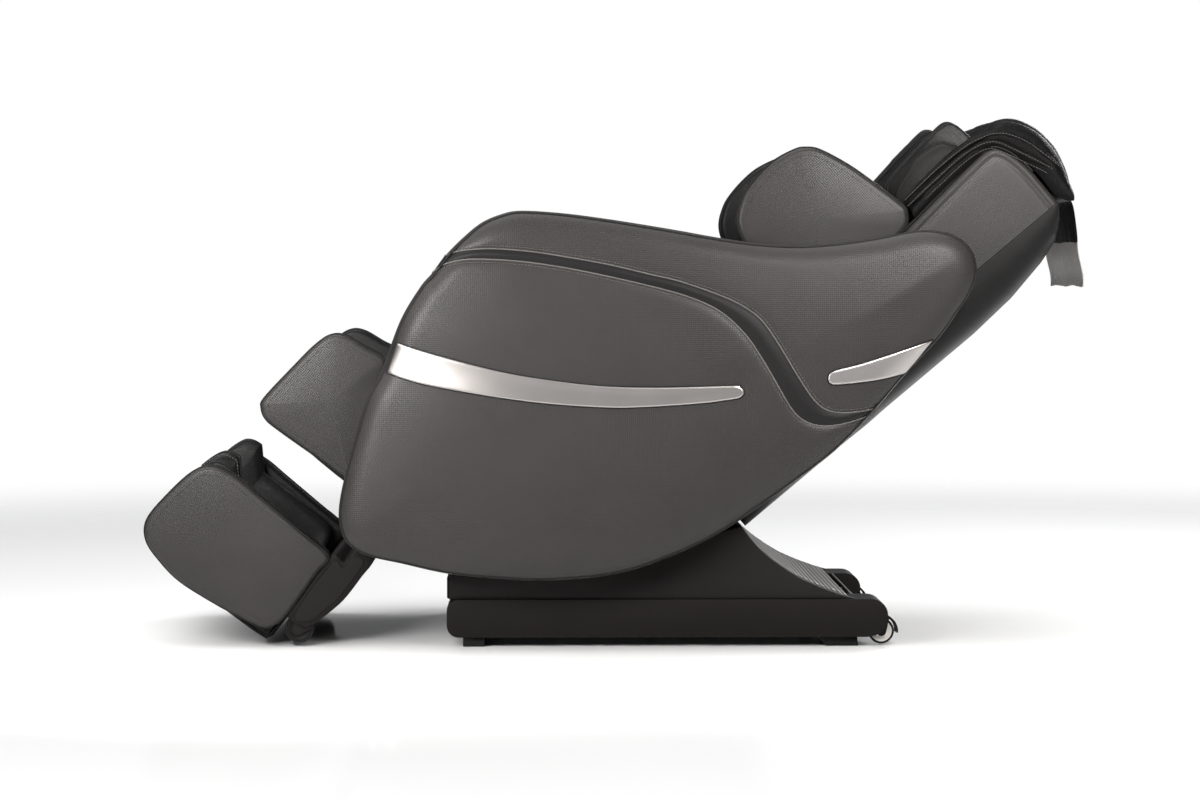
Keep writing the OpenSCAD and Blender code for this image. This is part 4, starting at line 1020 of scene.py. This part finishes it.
# Three channels across, a seam down each side before the bolsters, and loose creases.
def backSeams(p):
    s, y, n = p.T
    inside = 1 - ease((np.abs(y) - 150) / 12)
    channels = (bell(s - 250, 7) + bell(s - 400, 7) + bell(s - 560, 7)) * inside
    creases = wrinkle(s, y, 5, 80, 55, 0.9)
    return (5 * channels + 3 * bell(np.abs(y) - 165, 4) + 1.1 * creases) * ease((n + 60) / 25)


sculpt(backPiece, "back", backSeams)
clampPoints(backPiece, "back", (27.5, -225.2, -95), (853, 225.2, 60))
ride(backPiece, "backrest", ["back_cushion"])

pillow = {
    "s": (640, 837), "half": 188, "rear": 5.3, "middle": 42, "bolster": (104, 128, 163), "step": 169,
    "top": [(640, 90), (690, 99), (737, 105), (790, 110), (825, 113), (837, 108)],
    "side": [(640, 66), (690, 84), (724, 94), (760, 93), (785, 86), (800, 66), (812, 52), (837, 50)],
}


# Middle pad, a bolster at each side that rises towards the head, and a lower outer pad.
def pillowFace(s, y):
    a, t = np.abs(y), (s - pillow["s"][0]) / (pillow["s"][1] - pillow["s"][0])
    top = np.interp(s, *np.array(pillow["top"]).T)
    outer = np.interp(s, *spline(pillow["side"], 8).T)
    low, high, end = pillow["bolster"]
    middle = pillow["middle"] + 6 * np.sin(math.pi * t) - 3 * bell(t - 0.5, 0.03)
    n = middle + (top + 3 * bell(a - (high + end) / 2, 22) - middle) * ease((a - low) / (high - low))
    n = n + (outer - n) * ease((a - end) / 7)
    return n - 3 * bell(a - low + 4, 4)


u, v = sineSpaced(120)[:, None], sineSpaced(220)[None]
mid, half = middleAndHalf(pillow["s"])
s, y = np.broadcast_arrays(mid + half * u, v * pillow["half"])
h = hump(u, 12) * hump(v, 40)
crumple = wrinkle(s, y, 9, 70, 40, 0.9)
front = np.stack([s, y, 20 + (pillowFace(s, y) - 1.0 * crumple - 20) * h], -1)
rear = np.stack([s, y, 16 + (pillow["rear"] - 16) * hump(u, 30) * hump(v, 30)], -1)
shell("headPillow", front, rear, "backrest", "blackLeather", inner="softGrey",
      innerTest=lambda c: np.abs(c[:, 1]) > pillow["step"] - 1, replaced=["head_pillow"], fill=0.7)
for side in sides:
    cords = []
    for column, lift in ((pillow["bolster"][1] - 4, -1.0), (pillow["bolster"][2] + 1, -1.5)):
        s = np.linspace(646, 830, 60)
        n = 20 + (pillowFace(s, np.full(60, float(column))) - 20) * hump((s - mid) / half, 12) + lift
        cords.append(mirrored(atY(np.stack([s, n], -1), -float(column)), side))
    tubes(titled("bolsterPiping", side), cords, 1.6, "backrest", "piping")
print("seat, back and pillow made")

# Leg wells
calf = {"z": (-182, -38), "half": 243.2, "rear": 29.5}
foot = {"x": (22, 318), "half": 243.2, "floor": -498.7,
        "rim": ((22, 150, 224, 262, 294, 318), (-308, -306, -304, -260, -260, -274))}
footMid, footHalf = middleAndHalf(foot["x"])


# Two troughs between a middle divider and the side walls, with a crease half way up.
def calfFront(z, y):
    divider, wall = np.exp(-((y / 24) ** 4)), ease((np.abs(y) - 182) / 22)
    t = (z - calf["z"][0]) / (calf["z"][1] - calf["z"][0])
    crease = np.exp(-(((t - 0.5) / 0.05) ** 2))
    rise = 150 + 55 * np.sin(math.pi * (0.15 + 0.7 * np.clip(t, 0, 1)))
    return 52 + 86 * divider + rise * wall - 6 * crease * (1 - wall)


u, v = np.linspace(-1, 1, 90)[:, None], sineSpaced(150)[None]
mid, half = middleAndHalf(calf["z"])
z, y = np.broadcast_arrays(mid + half * u, v * calf["half"])
h = hump(u, 10) * hump(v, 60)
crumple = 1.2 * wrinkle(z, y, 21, 60, 40, 0.8)
front = np.stack([-(16 + (calfFront(z, y) - 16 - crumple) * h), y, z], -1)
rear = np.stack([-(12 + (calf["rear"] - 12) * hump(u, 30) * hump(v, 30)), y, z], -1)
shell("calfCushion", front, rear, "legrest", "blackLeather", replaced=["calf_cushion"], fill=0.7)


# Height of the padded rims beside the feet, rising towards the toes.
def footRim(x):
    return np.interp(x, *foot["rim"])


# Sole hollows with a rounded heel and toe, a middle divider, and rims at the sides.
def footTop(x, y):
    divider, wall = np.exp(-((y / 26) ** 4)), ease((np.abs(y) - 178) / 20)
    t = (x - foot["x"][0]) / (foot["x"][1] - foot["x"][0])
    heel, toe = ease((0.16 - t) / 0.14), ease((t - 0.9) / 0.08)
    rim = footRim(x)
    sole = -466 + 8 * np.cos(4 * math.pi * t)
    inside = sole + (-352 - sole) * divider
    inside = inside + (-350 - inside) * np.maximum(heel, 0.8 * toe)
    return inside + (rim - inside) * wall


# Middle of the cushion's edge: level, then rounded up under the toes.
def footBase(x):
    return foot["floor"] + 8 + 60 * (np.maximum(x - 250, 0) / 68) ** 2


# Height of the cushion's top, rounded down at its four edges.
def footSurface(x, y, crumple=0):
    h = hump((x - footMid) / footHalf, 12) * hump(y / foot["half"], 24)
    return footBase(x) + (footTop(x, y) - crumple - footBase(x)) * h


u, v = np.linspace(-1, 1, 130)[:, None], sineSpaced(150)[None]
x, y = np.broadcast_arrays(footMid + footHalf * u, v * foot["half"])
top = np.stack([-x, y, footSurface(x, y, 1.2 * wrinkle(x, y, 23, 60, 40, 0.8))], -1)
low = np.stack([-x, y, footBase(x) - 8], -1)
shell("footCushion", top, low, "footrest", "blackLeather", replaced=["foot_cushion"], fill=0.7)
for side in sides:  # layered edges: rows of piping and stitches along the rims
    x = np.linspace(30, 309, 90)
    rims = [mirrored(atY(np.stack([-x, footSurface(x, column) + 0.4], -1), -column), side)
            for column in (240, 229, 212, 234.5, 220.5)]
    tubes(titled("footRimPiping", side), rims[:3], 1.9, "footrest", "piping")
    stitches(titled("footRimStitches", side), rims[3:], "footrest", "thread", up=(0, 0, 1))
print("leg wells made")

# Foot section's shell: sides with a raised panel, tray, telescopic rods, caster cheeks
footShell = {
    "outline": [(13, -262), (51, -258), (53, -302), (52, -354), (43, -395), (34, -425), (24, -440),
                (-14, -440), (-16, -400), (-15, -300), (12, -296)],
    "panel": [(20, -276), (40, -274), (43, -310), (42, -352), (34, -392), (24, -424), (-4, -428), (-5, -312),
              (17, -306)],
    "tray": [(-264, -486), (-262, -494), (-250, -501), (-211, -505), (-140, -505), (-50, -505), (-20, -503),
             (-13, -490), (-13, -428), (-20, -427), (-21, -488), (-28, -498.9), (-140, -499), (-211, -499),
             (-246, -495), (-256, -490), (-259, -484)],
    "cheek": [(2, -432), (36, -428), (30, -444), (26, -455), (18, -460), (10, -455), (4, -444)],
    "bumper": (-190, -501, 11), "rod": (24, 150, 10, 160), "wheelMid": 262, "wheelGap": 14,
}


# Side-view outline given a width from y0 to y1, with quarter-round edges.
def roundPlate(name, outline, y0, y1, edge, body, finish, smooth=4, count=160, **extra):
    line = spline(outline, smooth, closed=True) if smooth else np.array(outline, float)
    loop = around(line, count)
    return ringSolid(name, padRings(loop, loop.mean(0), y0, y1, edge, (0.5, 0.5), waist=0), body, finish, **extra)


roundPlate("footShell", footShell["outline"], -284, 284, 5, "footrest", "skirtPlastic", replaced=["foot_shell"])
tray = np.array(footShell["tray"], float)
trayGrid = [atY(tray, column) for column in np.linspace(-243, 243, 13)]
ringSolid("soleTray", np.array(trayGrid), "footrest", "coverPlastic", replaced=["foot_shell"])
for side in sides:
    way = -1 if side == "left" else 1
    roundPlate(titled("footPanel", side), footShell["panel"], way * 283, way * 286.5, 1.4, "footrest",
               "coverPlastic")
    for part, column in (("Inner", footShell["wheelMid"] - footShell["wheelGap"]),
                         ("Outer", footShell["wheelMid"] + footShell["wheelGap"])):
        roundPlate(titled("legCheek" + part, side), footShell["cheek"], way * (column - 1.9),
                   way * (column + 1.9), 1.2, "footrest", "coverPlastic", count=80)
    atX, atZ, radius = footShell["bumper"]
    a = np.linspace(0, 2 * math.pi, 40, endpoint=False)
    roundPlate(titled("soleBumper", side), np.stack([atX + radius * np.cos(a), atZ + radius * np.sin(a)], -1),
               way * 205, way * 241, 3, "footrest", "rubber", smooth=0, count=40)
    atX, column, radius, height = footShell["rod"]
    rod = np.array([(atX, way * column, -270 + height * t) for t in (0, 0.02, 0.98, 1)])
    tubes(titled("slideRod", side), [rod], np.array([radius - 1, radius, radius, radius - 1]), "footrest",
          "brightSteel", sides=32)
print("foot shell made")

# Base: ribbed deck, casters
deck = {
    "ramp": [(229, 222), (244, 201), (262, 181), (284, 162), (312, 142), (340, 125), (376, 109), (412, 96),
             (428, 90.5)],
    "half": 269.7, "pitch": 11.0, "rib": 1.6, "thick": 5,
}
ramp = evenly(spline(deck["ramp"], 12), np.linspace(0.04, 1, 420))
run = np.concatenate([[0], np.cumsum(np.linalg.norm(np.diff(ramp, axis=0), axis=1))])
across = leftOf(ramp)
across *= np.sign(across[:, 1:])
rib = deck["rib"] * (np.abs(((run / deck["pitch"]) % 1) - 0.5) > 0.16)
rib = np.convolve(rib, np.ones(5) / 5, "same")
upper = ramp + across * (rib - 0.6)[:, None]
lower = ramp - across * deck["thick"]
y = np.linspace(-1, 1, 9) * deck["half"]


# Side-view line carried across the deck.
def sweep(line):
    return np.stack(np.broadcast_arrays(line[:, None, 0], y[None], line[:, None, 1]), -1)


shell("ribbedDeck", sweep(upper), sweep(lower), "base", "deckPlastic")
keepNode("rear_deck", "deckPlastic", 0.001)


# Round-shouldered tyre with a flange; face is the outward sign of y.
def tyreProfile(r, w, mid, face):
    h = w / 2
    pts = [(r * 0.86, -h), (r - 2.4, -h), (r - 1, -h + 0.6), (r, -h + 3), (r, h - 3), (r - 1, h - 0.6),
           (r - 2.4, h), (r * 0.86, h), (r * 0.80, h - 3), (r * 0.78, -h + 3)]
    return [(a, mid + face * b) for a, b in pts]


# Hub section: a dished web between the bore and the tyre.
def hubProfile(r, w, mid, face):
    h = w / 2
    pts = [(4.2, -h + 1), (r * 0.80, -h + 1.2), (r * 0.84, -h + 3), (r * 0.84, h - 2.2), (r * 0.80, h - 0.8),
           (r * 0.72, h - 1.2), (r * 0.66, h - 3), (r * 0.40, h - 3), (r * 0.32, h - 0.8), (4.2, h - 0.4)]
    return [(a, mid + face * b) for a, b in pts]


# Closed ring: the profile's last point joins its first.
def ringed(name, profile, at, body, finish):
    profile = np.asarray(profile, float)
    a = np.linspace(0, 2 * math.pi, 72, endpoint=False)[None]
    rings = np.stack(np.broadcast_arrays(at[0] + profile[:, :1] * np.cos(a), profile[:, 1:],
                                         at[1] + profile[:, :1] * np.sin(a)), -1)
    finishMesh(name, rings.reshape(-1, 3), gridFaces(len(profile), 72, True, True), body, finish,
               slot="wheel_plastic", replaced=[body])


for side in sides:
    way = -1 if side == "left" else 1
    for name, at, r, w, body, web in (("rearWheel", (489, 27), 24, 22, "rear_wheel_", "wheelPlastic"),
                                      ("legWheel", (18, -446), 27, 24, "leg_wheel_", "coverPlastic")):
        mid = way * footShell["wheelMid"]
        ringed(titled(name, side), tyreProfile(r, w, mid, way), at, body + side, "rubber")
        ringed(titled(name + "Hub", side), hubProfile(r, w, mid, way), at, body + side, web)
print("base and wheels made")

# Camera, light and floor
view = {"at": (-0.135, -5.720, 0.682), "towards": (55 / 2950, 1, -122 / 2950), "lens": 88.5}
cameraData = bpy.data.cameras.new("camera")
cameraData.lens, cameraData.sensor_width = view["lens"], 36
camera = linked("camera", cameraData)
camera.location = view["at"]
camera.rotation_euler = Vector(view["towards"]).to_track_quat("-Z", "Y").to_euler()
bpy.context.scene.camera = camera


# Rectangular lamp that points from one place towards another.
def softbox(name, at, towards, size, power, colour=(1, 1, 1)):
    data = bpy.data.lights.new(name, "AREA")
    data.shape, data.size, data.size_y, data.energy, data.color = "RECTANGLE", size[0], size[1], power, colour
    data.spread = math.radians(110)
    obj = linked(name, data)
    obj.location = at
    obj.rotation_euler = (Vector(towards) - Vector(at)).to_track_quat("-Z", "Y").to_euler()
    obj.visible_camera = False


softbox("key", (-3.6, -1.5, 3.2), (-0.1, -0.2, 0.5), (1.8, 1.8), 22, (1, 0.985, 0.97))
softbox("sheenLeft", (-1.0, -1.6, 0.9), (-0.45, -0.35, 0.68), (0.6, 0.7), 19, (1, 0.985, 0.97))
softbox("sheenRight", (0.85, -1.6, 1.3), (0.6, -0.3, 0.86), (0.6, 0.6), 17, (1, 0.98, 0.96))
softbox("rear", (2.6, 2.8, 2.4), (0.1, 0, 0.5), (2.4, 1.6), 60)
sunData = bpy.data.lights.new("sky", "SUN")
sunData.energy, sunData.angle = 3.4, math.radians(60)
sun = linked("sky", sunData)
sun.rotation_euler = (math.radians(-3), math.radians(-10), 0)
world = bpy.data.worlds.new("studio")
world.use_nodes = True
tree = world.node_tree
seen, lit = tree.nodes["Background"], tree.nodes.new("ShaderNodeBackground")
seen.inputs["Color"].default_value, seen.inputs["Strength"].default_value = tint((1, 1, 1)), 1.0
lit.inputs["Color"].default_value, lit.inputs["Strength"].default_value = tint((0.98, 0.99, 1)), 0.2
which, path = tree.nodes.new("ShaderNodeMixShader"), tree.nodes.new("ShaderNodeLightPath")
tree.links.new(path.outputs["Is Camera Ray"], which.inputs[0])  # white behind, dimmer light from it
tree.links.new(lit.outputs[0], which.inputs[1])
tree.links.new(seen.outputs[0], which.inputs[2])
tree.links.new(which.outputs[0], tree.nodes["World Output"].inputs["Surface"])
bpy.context.scene.world = world
bpy.context.scene.view_settings.view_transform = "Standard"

floorFinish = Finish("floorFinish", Roughness=0.1, IOR=1.25)
cloud = floorFinish.noise(floorFinish.place(), 1.5, 2)
far = floorFinish.node("ShaderNodeVectorMath", {"operation": "LENGTH"}, {0: floorFinish.place()}).outputs["Value"]
fade = floorFinish.node("ShaderNodeMapRange", {"interpolation_type": "SMOOTHSTEP"},
                        {"Value": far, "From Min": 2.3, "From Max": 4.6, "To Min": 1.0, "To Max": 0.0})
floorFinish.set("Alpha", fade.outputs["Result"])  # melts into the white behind it
floorFinish.set("Base Color", floorFinish.mix(cloud, tint((0.93, 0.93, 0.93)), tint((0.95, 0.95, 0.95))))
finishes["floorFinish"] = floorFinish.material
x, y = np.meshgrid(np.linspace(-14000, 14000, 3), np.linspace(-9000, 14000, 3), indexing="ij")
corners = np.stack([x, y, np.zeros((3, 3))], -1)
floorPiece = finishMesh("floor", corners.reshape(-1, 3), gridFaces(3, 3), None, "floorFinish")
print("camera and light set")
